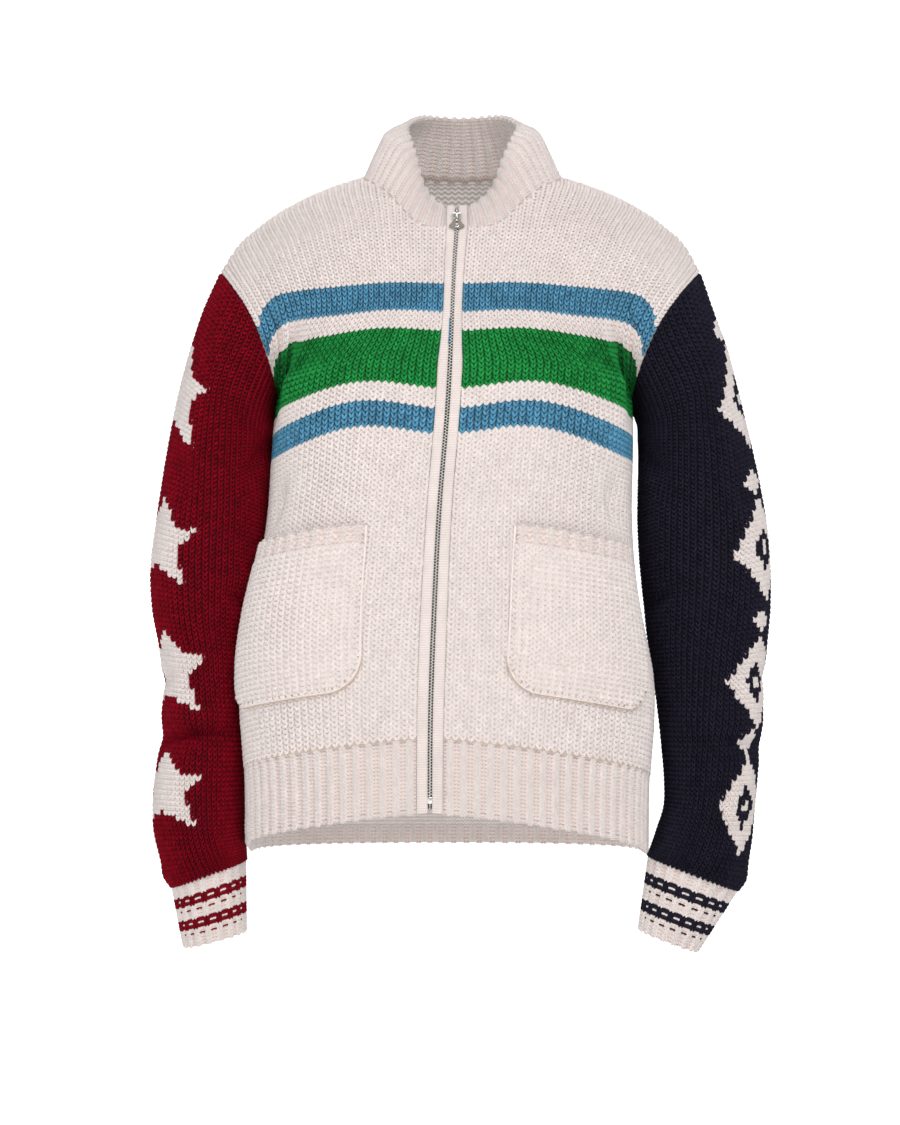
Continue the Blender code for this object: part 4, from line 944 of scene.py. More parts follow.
@dataclass(frozen=True)
class Wool:
    """Soft spun wool: fibres, ply twist along the yarn and a faint bloom, with painted shade in its
    hollows and a painted glow.

    Attributes:
        name: The material's name.
        colour: Linear colour of the yarn.
        look: What the piece's own map and attributes stand for.
        deep: The share of the colour in the fibres' hollows: painted shade, mixed with random tone.
        bright: The share of the colour on the fibres' crests: painted highlight, mixed with random
            tone.
        bloom: How strong the sheen of loose fibres is.
        glow: How much painted light the wool gives of itself, standing in for light that wanders
            through pale wool.
        hollow: How much painted shade darkens a leg of yarn at its sides and its sunk end.
        ridges: How many ridges a fine facing has for each unit of its map.
        relief_depth: The height of the twist, bumps or ridges, in metres.
        fuzz_depth: The height of single fibres, in metres.
        fibre_scale: How fine the fibres are.
        cloud_scale: How fine the soft patches of tone are.
    """

    name: str
    colour: tuple
    look: Look = Look.YARN
    deep: float = 0.82
    bright: float = 1.10
    bloom: float = 0.3
    glow: float = 0.0
    hollow: float = 0.5
    ridges: float = 1.0
    relief_depth: float = 0.0005
    fuzz_depth: float = 0.0004
    fibre_scale: float = 1400.0
    cloud_scale: float = 55.0

    def material(self) -> bpy.types.Material:
        """Build the material's nodes.

        Returns:
            The material.
        """
        net = Net(self.name)
        fibre = net.noise(Scale=self.fibre_scale, Detail=3.0, Roughness=0.7)
        cloud = net.noise(Scale=self.cloud_scale, Detail=2.0)
        colour = np.array(self.colour)
        tone = net.sum("MULTIPLY_ADD", fibre, 0.6, net.sum("MULTIPLY", cloud, 0.4))
        if self.look is Look.YARN:
            shade = net.node("ShaderNodeAttribute", attribute_name="shade")
            tone = net.sum("ADD", tone, shade.outputs["Fac"])
        # Painted shade and highlight: the colour runs from deep in the fibres' hollows to bright on
        # their crests, with random tone, and is scaled by the relief's painted shade.
        painted_shade_scale = net.node("ShaderNodeVectorMath", operation="SCALE")
        net.link(net.ramp(tone, colour * self.deep, colour * self.bright, (0.25, 0.75)),
                 painted_shade_scale.inputs["Vector"])
        yarn = net.node("ShaderNodeUVMap", uv_map="yarn")
        split = net.node("ShaderNodeSeparateXYZ")
        net.link(yarn.outputs["UV"], split.inputs["Vector"])
        relief, light = self.relief(net, split.outputs["X"], split.outputs["Y"])
        net.link(light, painted_shade_scale.inputs["Scale"])
        colour_out = painted_shade_scale.outputs["Vector"]
        if self.look is Look.KNITTED:
            tint = net.node("ShaderNodeAttribute", attribute_name="tint")
            mix = net.node("ShaderNodeVectorMath", operation="MULTIPLY")
            net.link(colour_out, mix.inputs[0])
            net.link(tint.outputs["Color"], mix.inputs[1])
            colour_out = mix.outputs["Vector"]
        net.link(colour_out, net.shader.inputs["Base Color"])
        # Painted light: the wool glows in its own colour, glow times as strong.
        net.link(colour_out, net.shader.inputs["Emission Color"])
        net.link(net.bump(fibre, 0.35, self.fuzz_depth, net.bump(relief, 0.5, self.relief_depth)),
                 net.shader.inputs["Normal"])
        net.finish(Emission_Strength=self.glow, Roughness=0.92, Specular_IOR_Level=0.1,
                   Sheen_Weight=self.bloom, Sheen_Roughness=0.55,
                   Sheen_Tint=(*np.minimum(colour * 2 + 0.02, 1), 1.0))
        return net.material

    def relief(self, net: Net, u: bpy.types.NodeSocket,
               v: bpy.types.NodeSocket) -> tuple[bpy.types.NodeSocket, bpy.types.NodeSocket]:
        """The height of the bump, and the painted shade: the share of the colour kept at each
        place.

        On a leg of yarn the plies twist across it, and painted shade darkens it as edge^2 towards
        its sides and as v nears its sunk end. A knitted core carries the bumps of purl
        stitches, sin(2 pi (v + 0.2 cos 2 pi u)), painted darker in their troughs. A fine facing is
        ridged, |sin(pi k v)|, painted darker between its ridges.

        Args:
            net: The material's nodes.
            u: Places across the piece's own map.
            v: Places along it.

        Returns:
            The height and the painted shade.
        """
        if self.look is Look.YARN:
            edge = net.sum("MULTIPLY_ADD", u, 2.0, -1.0)
            slope = net.sum("MULTIPLY_ADD", u, 5.0, net.sum("MULTIPLY", v, 7.5))
            twist = net.sum("SINE", slope)
            end = net.span(v, From_Min=1.7, From_Max=3.0)
            # Painted shade towards the leg's sides and its sunk end.
            dark = net.sum("MULTIPLY", net.sum("MULTIPLY", edge, edge), self.hollow)
            dark = net.sum("MULTIPLY_ADD", end, self.hollow, dark)
            return twist, net.sum("MAXIMUM", net.sum("SUBTRACT", 1.0, dark), 0.2)
        if self.look is Look.KNITTED:
            wave = net.sum("COSINE", net.sum("MULTIPLY", u, 2 * math.pi))
            wave = net.sum("MULTIPLY_ADD", wave, 0.2, v)
            wave = net.sum("SINE", net.sum("MULTIPLY", wave, 2 * math.pi))
            # Painted shade in the troughs of the purl bumps.
            return wave, net.sum("MULTIPLY_ADD", wave, 0.16, 0.84)
        wave = net.sum("ABSOLUTE", net.sum("SINE", net.sum("MULTIPLY", v, self.ridges * math.pi)))
        # Painted shade between the ridges.
        return wave, net.sum("MULTIPLY_ADD", wave, 0.18, 0.82)


@dataclass(frozen=True)
class Metal:
    """Plated zip metal with fine handling scratches."""

    name: str
    colour: tuple
    rough: float = 0.28

    def material(self) -> bpy.types.Material:
        """Build the material's nodes.

        Returns:
            The material.
        """
        net = Net(self.name)
        scratch = net.noise(Scale=900.0, Detail=4.0, Roughness=0.75)
        colour = np.array(self.colour)
        net.link(net.ramp(scratch, colour * 0.72, colour * 1.08), net.shader.inputs["Base Color"])
        net.link(net.span(scratch, To_Min=self.rough * 0.6, To_Max=self.rough * 1.7),
                 net.shader.inputs["Roughness"])
        net.link(net.bump(scratch, 0.12, 0.0002), net.shader.inputs["Normal"])
        net.finish(Metallic=1.0)
        return net.material


class Palette:
    """Every finish, made once and handed out by name."""

    def __init__(self) -> None:
        """Build the materials."""
        # Painted shade and light: deep and bright darken the fibres' hollows and lighten their
        # crests, hollow darkens each leg's sides and sunk end, and glow makes the wool give light
        # of itself.
        dyed = {"deep": 0.62, "bright": 1.25, "bloom": 0.1, "hollow": 0.74}
        pale = {"deep": 0.90, "bright": 1.06, "bloom": 0.25, "hollow": 0.06, "glow": 0.19}
        self.yarn = {yarn: Wool(f"{yarn.name.lower()}_wool", yarn.value,
                                **(pale if yarn is Yarn.CREAM else dyed)).material()
                     for yarn in Yarn}
        # Painted light: the core glows, lifting the shade in the holes between the stitches.
        self.cloth = Wool("cloth_core", (0.95, 0.95, 0.95), Look.KNITTED, bloom=0.2, glow=0.36,
                          relief_depth=0.0012).material()
        self.facing = Wool("fine_facing", (0.66, 0.58, 0.553), Look.RIDGED, bloom=0.15, glow=0.13,
                           ridges=FACING_UNIT / FACING_RIDGE, fibre_scale=2600.0).material()
        # Partly painted shade: the woven tape's near-black also stands for the dark gaps between
        # and beside the teeth.
        self.tape = Wool("woven_tape", (0.11, 0.10, 0.09), Look.RIDGED, bloom=0.05,
                         ridges=FACING_UNIT / 0.8, relief_depth=0.0002,
                         fibre_scale=3000.0).material()
        self.teeth = Metal("dulled_teeth", (0.90, 0.885, 0.86), rough=0.32).material()
        self.nickel = Metal("plated_nickel", (0.92, 0.91, 0.89), rough=0.16).material()
        self.pull = Metal("brushed_pull", (0.26, 0.23, 0.20), rough=0.42).material()


# --------------------------------------------------------------------------
# Meshes


def add(name: str, data: bpy.types.ID) -> bpy.types.Object:
    """Make an object of a mesh, a light, a camera or a curve and put it in the scene."""
    item = bpy.data.objects.new(name, data)
    bpy.context.scene.collection.objects.link(item)
    return item


def write_mesh(name: str, points: Array, faces: Sequence[Array], material: bpy.types.Material,
               corner_uv: Array | None = None,
               body: str = "cardigan") -> bpy.types.Object:
    """Put arrays into a mesh, shade it smooth, and let the piece ride on a body.

    Args:
        name: The piece's name.
        points: Its points, in millimetres.
        faces: Arrays of vertex numbers, one array for each size of face.
        material: Its finish.
        corner_uv: The yarn's map, one pair for each corner in order.
        body: The body it moves with.

    Returns:
        The new object.
    """
    mesh = bpy.data.meshes.new(name)
    sizes = np.concatenate([np.full(len(group), group.shape[1]) for group in faces])
    corners = np.concatenate([group.reshape(-1) for group in faces]).astype(np.int32)
    mesh.vertices.add(len(points))
    mesh.vertices.foreach_set("co", (points * MM).astype(np.float32).reshape(-1))
    mesh.loops.add(len(corners))
    mesh.loops.foreach_set("vertex_index", corners)
    mesh.polygons.add(len(sizes))
    starts = np.concatenate([[0], np.cumsum(sizes)[:-1]]).astype(np.int32)
    mesh.polygons.foreach_set("loop_start", starts)
    mesh.update(calc_edges=True)
    if corner_uv is not None:
        layer = mesh.uv_layers.new(name="yarn")
        layer.data.foreach_set("uv", corner_uv.astype(np.float32).reshape(-1))
    mesh.shade_smooth()
    mesh.materials.append(material)
    item = add(name, mesh)
    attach(item, body)
    return item


def grid_quads(rows: int, columns: int, closed: bool, flip: bool) -> Array:
    """Quads of a grid of rows by columns; a closed grid joins its last column to its first.

    Args:
        rows: The grid's rows.
        columns: Its columns.
        closed: Whether its last column joins its first.
        flip: Whether its faces are turned over.

    Returns:
        Four vertex numbers for each face.
    """
    last = columns if closed else columns - 1
    i, j = np.meshgrid(np.arange(rows - 1), np.arange(last), indexing="ij")
    k = (j + 1) % columns
    low, high = i * columns, (i + 1) * columns
    quads = np.stack([low + j, low + k, high + k, high + j], axis=-1).reshape(-1, 4)
    return quads[:, ::-1] if flip else quads


def wall_quads(rows: int, columns: int, closed: bool, flip: bool) -> Array:
    """Quads of a closed wall: an outer grid, its inner twin, and the rims between them.

    Args:
        rows: The grid's rows.
        columns: Its columns.
        closed: Whether its last column joins its first.
        flip: Whether its faces are turned over.

    Returns:
        Four vertex numbers for each face.
    """
    count = rows * columns
    grid = np.arange(count).reshape(rows, columns)
    faces = [grid_quads(rows, columns, closed, flip),
             grid_quads(rows, columns, closed, not flip) + count]
    if closed:
        loops = [grid[0], grid[-1, ::-1]]
    else:
        loops = [np.concatenate([grid[0, :-1], grid[:-1, -1], grid[-1, :0:-1], grid[:0:-1, 0]])]
    for loop in loops:
        after = np.roll(loop, -1)
        rim = np.stack([after, loop, loop + count, after + count], axis=-1)
        faces.append(rim[:, ::-1] if flip else rim)
    return np.concatenate(faces)


def end_caps(last: int, count: int, flip: bool) -> Array:
    """Fans of triangles that close a loft's first ring and the ring that starts at a vertex.

    Args:
        last: The last ring's first vertex.
        count: How many points a ring has.
        flip: Whether the loft is turned inside out.

    Returns:
        The triangles of both fans.
    """
    k = np.arange(count - 2)
    fan = np.stack([0 * k, k + 1, k + 2], axis=-1)
    back = fan[:, [0, 2, 1]]
    return np.concatenate([back, fan + last] if flip else [fan, back + last])


def shell(name: str, walls: Sequence[Array], wales: Array, courses: Array, around: float,
          flip: bool, material: bpy.types.Material) -> bpy.types.Object:
    """Make a closed wall of an outer grid and its inner twin.

    Args:
        name: The piece's name.
        walls: The outer and the inner grid's points.
        wales: The wales at the grids' columns.
        courses: The courses at the grids' rows.
        around: How many wales lie all round, or 0 for an open piece.
        flip: Whether columns crossed with rows point into the cloth.
        material: Its finish.

    Returns:
        The new object.
    """
    quads = wall_quads(*walls[0].shape[:2], around > 0, flip)
    spots = knit_map(wales, courses, [quads], 2, around)
    return write_mesh(name, np.concatenate([wall.reshape(-1, 3) for wall in walls]), [quads],
                      material, spots)


def core_walls(points: Array, ways: Array) -> list[Array]:
    """The outer and inner grids of a cloth core that lies under the stitches' face."""
    return [points + depth * ways for depth in (CORE_OUT, CORE_OUT - CORE_THICK)]


def folded_core(name: str, grid: Array, wales: Array, face: Surface, around: float,
                palette: Palette) -> bpy.types.Object:
    """Make the closed cloth core of a folded band.

    Args:
        name: The band's name.
        grid: The core's points.
        wales: The wales at its columns.
        face: The folded face that it follows, with rows in courses.
        around: How many wales lie all round, or 0 for an open piece.
        palette: The finishes.

    Returns:
        The new object.
    """
    faces = split_quads(tube_quads(*grid.shape[:2], around > 0, not face.outward()))
    spots = knit_map(wales, face.rows, faces, 1, around)
    return write_mesh(f"{name}_cloth", grid.reshape(-1, 3), faces, palette.cloth,
                      spots)


def shaded(colours: Array, dark: float = UNDER_DARK_PAINTED_SHADE) -> Array:
    """A core's colours under its stitches, with painted light and shade: pale yarn is tinted warm
    for light through the wool, and dark yarn is darkened for the shade in the holes.

    Args:
        colours: One linear colour for each face.
        dark: How much of its colour a dark core keeps under its painted shade.

    Returns:
        The colours under the stitches, with their painted light and shade.
    """
    pale = colours.min(axis=-1, keepdims=True) > 0.4
    # Painted light and shade: pale cores are warmed, dark ones darkened.
    return colours * np.where(pale, np.array(UNDER_PALE_PAINTED_LIGHT), dark)


def paint(item: bpy.types.Object, colours: Array) -> None:
    """Give each face its own colour in the "tint" attribute.

    Args:
        item: The piece.
        colours: One linear colour for each face.
    """
    mesh = item.data
    sizes = np.zeros(len(mesh.polygons), np.int32)
    mesh.polygons.foreach_get("loop_total", sizes)
    layer = mesh.color_attributes.new("tint", "FLOAT_COLOR", "CORNER")
    values = np.repeat(np.concatenate([colours, np.ones((len(colours), 1))], axis=1), sizes, axis=0)
    layer.data.foreach_set("color", values.astype(np.float32).reshape(-1))


@dataclass(frozen=True)
class StitchShape:
    """One leg of a stitch: a grain of yarn that leans away from the wale's middle.

    The grain has a pointed end, one or two cross-sections of three points and another
    pointed end. It starts high, over the stitch before it, and its far end and its sides dip
    under the face of the cloth.

    Attributes:
        wale: The wale's nominal width, in millimetres.
        course: The course's nominal height.
        lean: Degrees between the leg and the wale.
        length: The leg's length.
        width: The leg's width.
        rise: How far its crown stands out of the cloth's face.
        sunk: How far its far end lies under the face.
        apart: How far the leg's middle lies from the wale's, in wales.
        sections: Each cross-section's place along the leg, from -1 to 1, and its share
            of the rise.
    """

    wale: float = 7.1
    course: float = 4.72
    lean: float = 25.0
    length: float = 7.9
    width: float = 3.0
    rise: float = 1.3
    sunk: float = -1.5
    apart: float = 0.25
    sections: tuple = ((-0.6, 1.0), (0.3, 0.72))

    def leg(self, hand: int) -> Array:
        """Across (in wales), along (in courses) and out (in mm) of the leg's points.

        Args:
            hand: -1 for the left leg and 1 for the right.

        Returns:
            A row for each point.
        """
        angle = math.radians(self.lean)
        way = np.array([hand * math.sin(angle), math.cos(angle)]) * self.length / 2
        beside = np.array([math.cos(angle), -hand * math.sin(angle)]) * self.width / 2
        middle = np.array([hand * self.wale * self.apart, 0.0])
        spots, outs = [middle - way], [self.rise * 0.25]
        for place, share in self.sections:
            for across, out in ((-1, self.sunk * 0.7), (0, self.rise * share),
                                (1, self.sunk * 0.7)):
                spots.append(middle + way * place + beside * across)
                outs.append(out)
        spots.append(middle + way)
        outs.append(self.sunk)
        spots = np.array(spots) / np.array([self.wale, self.course])
        return np.concatenate([spots, np.array(outs)[:, None]], axis=1)

    def legs(self) -> list[Array]:
        """Both legs of a stitch, the left one first."""
        return [self.leg(-1), self.leg(1)]


# A leg's faces and its own map, by how many points it has: across it from 0 to 1, and
# along it from 0 to 3.
LegNet = namedtuple("LegNet", "tris quads spots")
LEG_NETS = {
    8: LegNet(np.array([[0, 2, 1], [0, 3, 2], [4, 5, 7], [5, 6, 7]]),
              np.array([[1, 2, 5, 4], [2, 3, 6, 5]]),
              np.array([[0.5, 0.0], [0, 0.9], [0.5, 0.9], [1, 0.9], [0, 2.1], [0.5, 2.1],
                        [1, 2.1], [0.5, 3.0]])),
    5: LegNet(np.array([[0, 2, 1], [0, 3, 2], [1, 2, 4], [2, 3, 4]]),
              np.zeros((0, 4), int),
              np.array([[0.5, 0.0], [0, 1.5], [0.5, 1.5], [1, 1.5], [0.5, 3.0]])),
}


@dataclass
class Stitches:
    """Stitches to lay on a surface: where each one is and how large its cell is.

    Attributes:
        surface: The cloth's face.
        row: The middle of each stitch, along the knitting.
        col: The middle of each stitch, across it.
        row_step: The surface's rows in one course.
        col_step: The surface's columns in one wale.
        out: How far each stitch's cell stands off the face, in millimetres.
        wrap: The columns all round a closed piece, or 0.
        seed: For the small unevenness.
    """

    surface: Surface
    row: Array
    col: Array
    row_step: float
    col_step: float
    out: Array | float = 0.0
    wrap: float = 0.0
    seed: int = 7

    def lay(self, shapes: Sequence[Array]) -> tuple[Array, Array]:
        """Points of every leg, and a little shade for each of them.

        A leg's point is the surface read at the stitch's middle plus the leg's own
        offsets, pushed out along the normal.

        Args:
            shapes: The legs of one stitch, as StitchShape gives them.

        Returns:
            Each leg's points in millimetres, and one shade for a leg.
        """
        draw = np.random.default_rng(self.seed)
        count = len(self.row)
        points, shades = [], []
        for shape in shapes:
            grow = 1 + draw.normal(0, 0.035, (count, 1))
            slide = draw.normal(0, 0.018, (count, 2))
            row = self.row[:, None] + self.row_step * (shape[None, :, 1] * grow + slide[:, :1])
            col = self.col[:, None] + self.col_step * (shape[None, :, 0] * grow + slide[:, 1:])
            if self.wrap:
                col = np.mod(col, self.wrap)
            base, ways = self.surface.at(row, col)
            out = np.broadcast_to(self.out, (count,))[:, None] + shape[None, :, 2]
            out = out + draw.normal(0, 0.07, (count, 1))
            points.append(base + out[..., None] * ways)
            shades.append(draw.normal(0, 0.09, count))
        return np.concatenate(points), np.concatenate(shades)

    def build(self, name: str, shapes: Sequence[Array], yarn: Yarn, palette: Palette,
              keep: Array | None = None) -> bpy.types.Object | None:
        """Make the stitches of one yarn as a single mesh.

        Args:
            name: The piece's name.
            shapes: The legs of one stitch.
            yarn: The yarn.
            palette: The finishes.
            keep: Which stitches this yarn knits.

        Returns:
            The piece, or None where the yarn knits none of them.
        """
        points, shades = self.lay(shapes)
        if keep is not None:
            chosen = np.tile(keep, len(shapes))
            points, shades = points[chosen], shades[chosen]
        legs = len(points)
        if not legs:
            return None
        net = LEG_NETS[points.shape[1]]
        size = len(net.spots)
        start = (np.arange(legs) * size)[:, None, None]
        tris = (start + net.tris[None]).reshape(-1, 3)
        quads = (start + net.quads[None]).reshape(-1, 4)
        if self.surface.outward() == (self.row_step < 0):
            tris, quads = tris[:, ::-1], quads[:, ::-1]
        corners = np.concatenate([tris.reshape(-1), quads.reshape(-1)])
        corner_uv = net.spots[corners % size]
        faces = [tris, quads] if len(quads) else [tris]
        item = write_mesh(name, points.reshape(-1, 3), faces, palette.yarn[yarn],
                          corner_uv)
        shade = item.data.attributes.new("shade", "FLOAT", "POINT")
        shade.data.foreach_set("value", np.repeat(shades, size).astype(np.float32))
        return item


# --------------------------------------------------------------------------
# Charts


Stripe = namedtuple("Stripe", "low high yarn")
STRIPES = table(Stripe, [
    (287.0, 310.5, Yarn.BLUE),
    (330.0, 388.5, Yarn.GREEN),
    (407.0, 433.5, Yarn.BLUE),
])


def stripe_of(height: Array) -> Array:
    """Which stripe each height lies in: 0 for the ground, else 1 plus the stripe's number."""
    found = np.zeros(np.shape(height), int)
    for number, stripe in enumerate(STRIPES):
        found[(height >= stripe.low) & (height < stripe.high)] = number + 1
    return found


Motif = namedtuple("Motif", "along turn high wide")
# How many degrees a sleeve's wales turn round it in each millimetre, and where they
# stand straight.
TWIST = 0.086
TWIST_FROM = 135
STARS = table(Motif, [
    (125, 20, 55, 58), (271, 32, 45.5, 57), (399, 43, 43.5, 61),
    (515, 44, 40, 63),
])
LOZENGES = table(Motif, [
    (124, 18, 54, 50), (274, 27, 51, 50), (404, 36, 47, 50), (526, 45, 50, 48),
])
STAR_TIP = [(0.0, 1.0), (0.46, 0.45), (1.0, 0.50), (0.57, -0.02), (0.87, -0.82), (0.0, -0.46)]


def in_star(across: Array, up: Array) -> Array:
    """Whether places lie in a five-pointed star of half width and upper height one.

    The star's right half is a polygon; a place is inside where a ray to the right
    crosses its sides an odd number of times.

    Args:
        across: Places to the right of its middle.
        up: Places over it.

    Returns:
        Whether each place is inside.
    """
    across = np.abs(across)
    inside = np.zeros(across.shape, bool)
    ring = STAR_TIP + [(0.0, 1.0)]
    for (x0, y0), (x1, y1) in zip(ring[:-1], ring[1:]):
        spans = (y0 > up) != (y1 > up)
        meets = x0 + (up - y0) * (x1 - x0) / (y1 - y0 if y1 != y0 else 1.0)
        inside ^= spans & (across < meets)
    return inside


def in_lozenge(across: Array, up: Array) -> Array:
    """Whether places lie in a hollow lozenge, or in the small diamond above it."""
    size = np.abs(across) + np.abs(up)
    small = np.abs(across) / 0.36 + np.abs(up - 1.29) / 0.24
    return ((size <= 1.0) & (size > 0.44)) | (size < 0.16) | (small <= 1.0)


# --------------------------------------------------------------------------
# The cardigan's parts


@dataclass
class Panels:
    """Both fronts and the back: cloth cores under stocking stitch with three stripes.

    Attributes:
        columns: How many columns of points a quarter's core has.
        cut: The share of its rectangle that a panel covers, shaped at neck and armhole; not used.
    """

    body: BodyShape
    palette: Palette
    stitch: StitchShape = StitchShape()
    columns: int = 25
    cut: float = 0.93

    def quarter_walls(self, side: int, front: bool) -> list[Array]:
        """Outer and inner grids of one quarter's cloth core.

        Args:
            side: -1 for the right side and 1 for the left.
            front: Whether it is a front.

        Returns:
            The two grids.
        """
        heights = np.linspace(0.0, SHOULDER, BODY_COURSES + 1)
        fractions = self.fractions(heights, front)
        rows = np.broadcast_to(heights[:, None], fractions.shape)
        rows = (self.body.lifted(rows, fractions) if front
                else np.minimum(rows, back_edge(fractions)))
        return core_walls(*self.body.quarter(side, front).at(rows, fractions))

    def fractions(self, heights: Array, front: bool) -> Array:
        """Where each row's columns lie across a quarter; a front's rows start at its edge.

        Args:
            heights: The rows.
            front: Whether it is a front.

        Returns:
            A fraction for each row and column.
        """
        share = np.linspace(0, 1, self.columns)[None, :]
        if not front:
            return share + 0 * heights[:, None]
        start = front_edge(heights)
        return start[:, None] + (1 - start[:, None]) * share

    def build(self) -> None:
        """Make the three panels' cores and the stitches of every quarter."""
        specs = {"front_right": [(-1, True)], "front_left": [(1, True)],
                 "back": [(-1, False), (1, False)]}
        for name, quarters in specs.items():
            self.build_core(name, quarters)
            for side, front in quarters:
                self.build_stitches(name if front else f"back_{'right' if side < 0 else 'left'}",
                                    side, front)
            LOG.info("panel %s", name)

    def build_core(self, name: str, quarters: list) -> None:
        """Args:
            name: The panel's name.
            quarters: The sides and fronts of its quarters.
        """
        grids = [self.quarter_walls(side, front) for side, front in quarters]
        walls = grids[0] if len(grids) == 1 else [
            np.concatenate([right[:, :0:-1], left], axis=1) for right, left in zip(*grids)]
        rows, columns = walls[0].shape[:2]
        item = shell(f"{name}_cloth", walls, np.linspace(0, BODY_WALES * len(quarters), columns),
                     np.arange(rows, dtype=float), 0, quarters[0][0] < 0, self.palette.cloth)
        heights = np.linspace(0.0, SHOULDER, BODY_COURSES + 1)
        middle = (heights[:-1] + heights[1:]) / 2
        dyes = np.array([Yarn.CREAM.value] + [stripe.yarn.value for stripe in STRIPES])
        face = dyes[stripe_of(middle)]
        tint = np.ones((len(item.data.polygons), 3)) * Yarn.CREAM.value
        skin = (rows - 1) * (columns - 1)
        tint[skin:2 * skin] = np.repeat(face, columns - 1, axis=0)
        # Painted shade: the outer face under the stitches is darkened, or warmed where it is pale.
        tint[:skin] = shaded(tint[skin:2 * skin])
        paint(item, tint)
        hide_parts(name)

    def build_stitches(self, name: str, side: int, front: bool) -> None:
        """Lay one quarter's stitches, a mesh for each stripe and one for the ground.

        Args:
            name: What the pieces' names start with.
            side: -1 for the right side and 1 for the left.
            front: Whether it is a front.
        """
        first = PANEL_INNER / HALF_WIDTH if front else 0.0
        wales = BODY_WALES if front else BODY_WALES + 2
        step = (1 - first) / wales
        course = SHOULDER / BODY_COURSES
        col, row = cells(first + (np.arange(wales) + 0.5) * step,
                         (np.arange(BODY_COURSES) + 0.5) * course)
        if front:
            keep = (row < FRONT_NECK[0].height - 2) | (col > front_edge(row) + 0.3 * step)
            keep &= ~self.under_pocket(side, row, col)
        else:
            keep = row < back_edge(col)
        row, col = row[keep], col[keep]
        cloth = self.body.quarter(side, front)
        chart = stripe_of(row)
        if front:
            row = self.body.lifted(row, col)
        laid = Stitches(cloth, row, col, course, step, seed=11 + 3 * side + (5 if front else 0))
        shapes = self.stitch.legs()
        yarns = [Yarn.CREAM] + [stripe.yarn for stripe in STRIPES]
        words = ("ground", "low_stripe", "wide_stripe", "high_stripe")
        for number, (yarn, word) in enumerate(zip(yarns, words)):
            laid.build(f"{name}_{word}", shapes, yarn, self.palette, chart == number)

    def under_pocket(self, side: int, row: Array, col: Array) -> Array:
        """Which of a front's stitches a pocket hides: those well inside its four edges."""
        inset, low, high = 0.06, Pocket.foot + Pocket.corner, Pocket.mouth - 24
        return ((col > Pocket.start(side) + inset) & (col < Pocket.outer - inset)
                & (row > low) & (row < high))


@dataclass
class SleeveCloth:
    """A sleeve: its cloth core, its stocking stitch and its column of motifs.

    Attributes:
        ground: Its own yarn.
        motifs: Its stars or lozenges, in cream.
        girth: Millimetres round it, by which the motifs are charted.
        flat_wide: Its width where it is cut widest, in metres; not used.
        mean_wide: Its mean width; not used.
    """

    name: str
    shape: SleeveShape
    ground: Yarn
    motifs: list
    palette: Palette
    stitch: StitchShape = StitchShape(wale=7.3, course=5.02, length=8.3, width=2.85, rise=1.8)
    girth: float = 420.0
    flat_wide: float = 0.44
    mean_wide: float = 0.40

    def chart(self, along: Array, turn: Array) -> Array:
        """Which stitches the cream yarn knits.

        Args:
            along: Millimetres along the sleeve.
            turn: Degrees round it, 0 at its outer side and 90 at its front.

        Returns:
            Whether each stitch is cream.
        """
        found = np.zeros(along.shape, bool)
        for motif in self.motifs:
            across = ((turn - motif.turn + 180) % 360 - 180) / 360 * self.girth / motif.wide
            up = (motif.along - along) / motif.high
            inside = in_star if self.ground is Yarn.BURGUNDY else in_lozenge
            found |= inside(across, up)
        return found

    def build(self) -> Surface:
        """Make the sleeve.

        Returns:
            Its face, for the cuff.
        """
        face = self.shape.surface()
        length = face.rows[-1]
        along = np.linspace(0, length, SLEEVE_COURSES + 1)
        turns = np.linspace(0, 360, SLEEVE_WALES + 1)[:-1]
        walls = core_walls(*face.at(along[:, None], turns[None, :]))
        item = shell(f"{self.name}_cloth", walls, np.arange(len(turns), dtype=float),
                     np.arange(len(along), dtype=float), len(turns), not face.outward(),
                     self.palette.cloth)
        tint = np.ones((len(item.data.polygons), 3)) * self.ground.value
        mid_along = ((along[:-1] + along[1:]) / 2)[:, None] + 0 * turns[None, :]
        mid_turn = (turns + 180 / SLEEVE_WALES)[None, :] + 0 * mid_along
        pattern = self.chart(mid_along, mid_turn).reshape(-1)
        tint[:len(pattern)][pattern] = Yarn.CREAM.value
        # Painted shade: the outer face under the stitches is darkened, or warmed where it is pale.
        tint[:len(pattern)] = shaded(tint[:len(pattern)])
        paint(item, tint)
        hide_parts(self.name)

        course = length / SLEEVE_COURSES
        wale = 360 / SLEEVE_WALES
        col, row = cells((np.arange(SLEEVE_WALES) + 0.5) * wale,
                         (np.arange(SLEEVE_COURSES) + 0.5) * course)
        spun = np.mod(col + TWIST * (row - TWIST_FROM), 360.0)
        laid = Stitches(face, row, spun, -course, wale, wrap=360.0, seed=31 + self.shape.side)
        pattern = self.chart(row, spun)
        shapes = self.stitch.legs()
        laid.build(f"{self.name}_ground", shapes, self.ground, self.palette, ~pattern)
        laid.build(f"{self.name}_motifs", shapes, Yarn.CREAM, self.palette, pattern)
        LOG.info("sleeve %s", self.name)
        return face


class Inside(Enum):
    """How the inner face follows the outer ribs: a share of the depth, and of their sink."""

    SAME = (0.0, 1.0)
    OTHER = (1.0, -1.0)
    PLAIN = (0.0, 0.0)


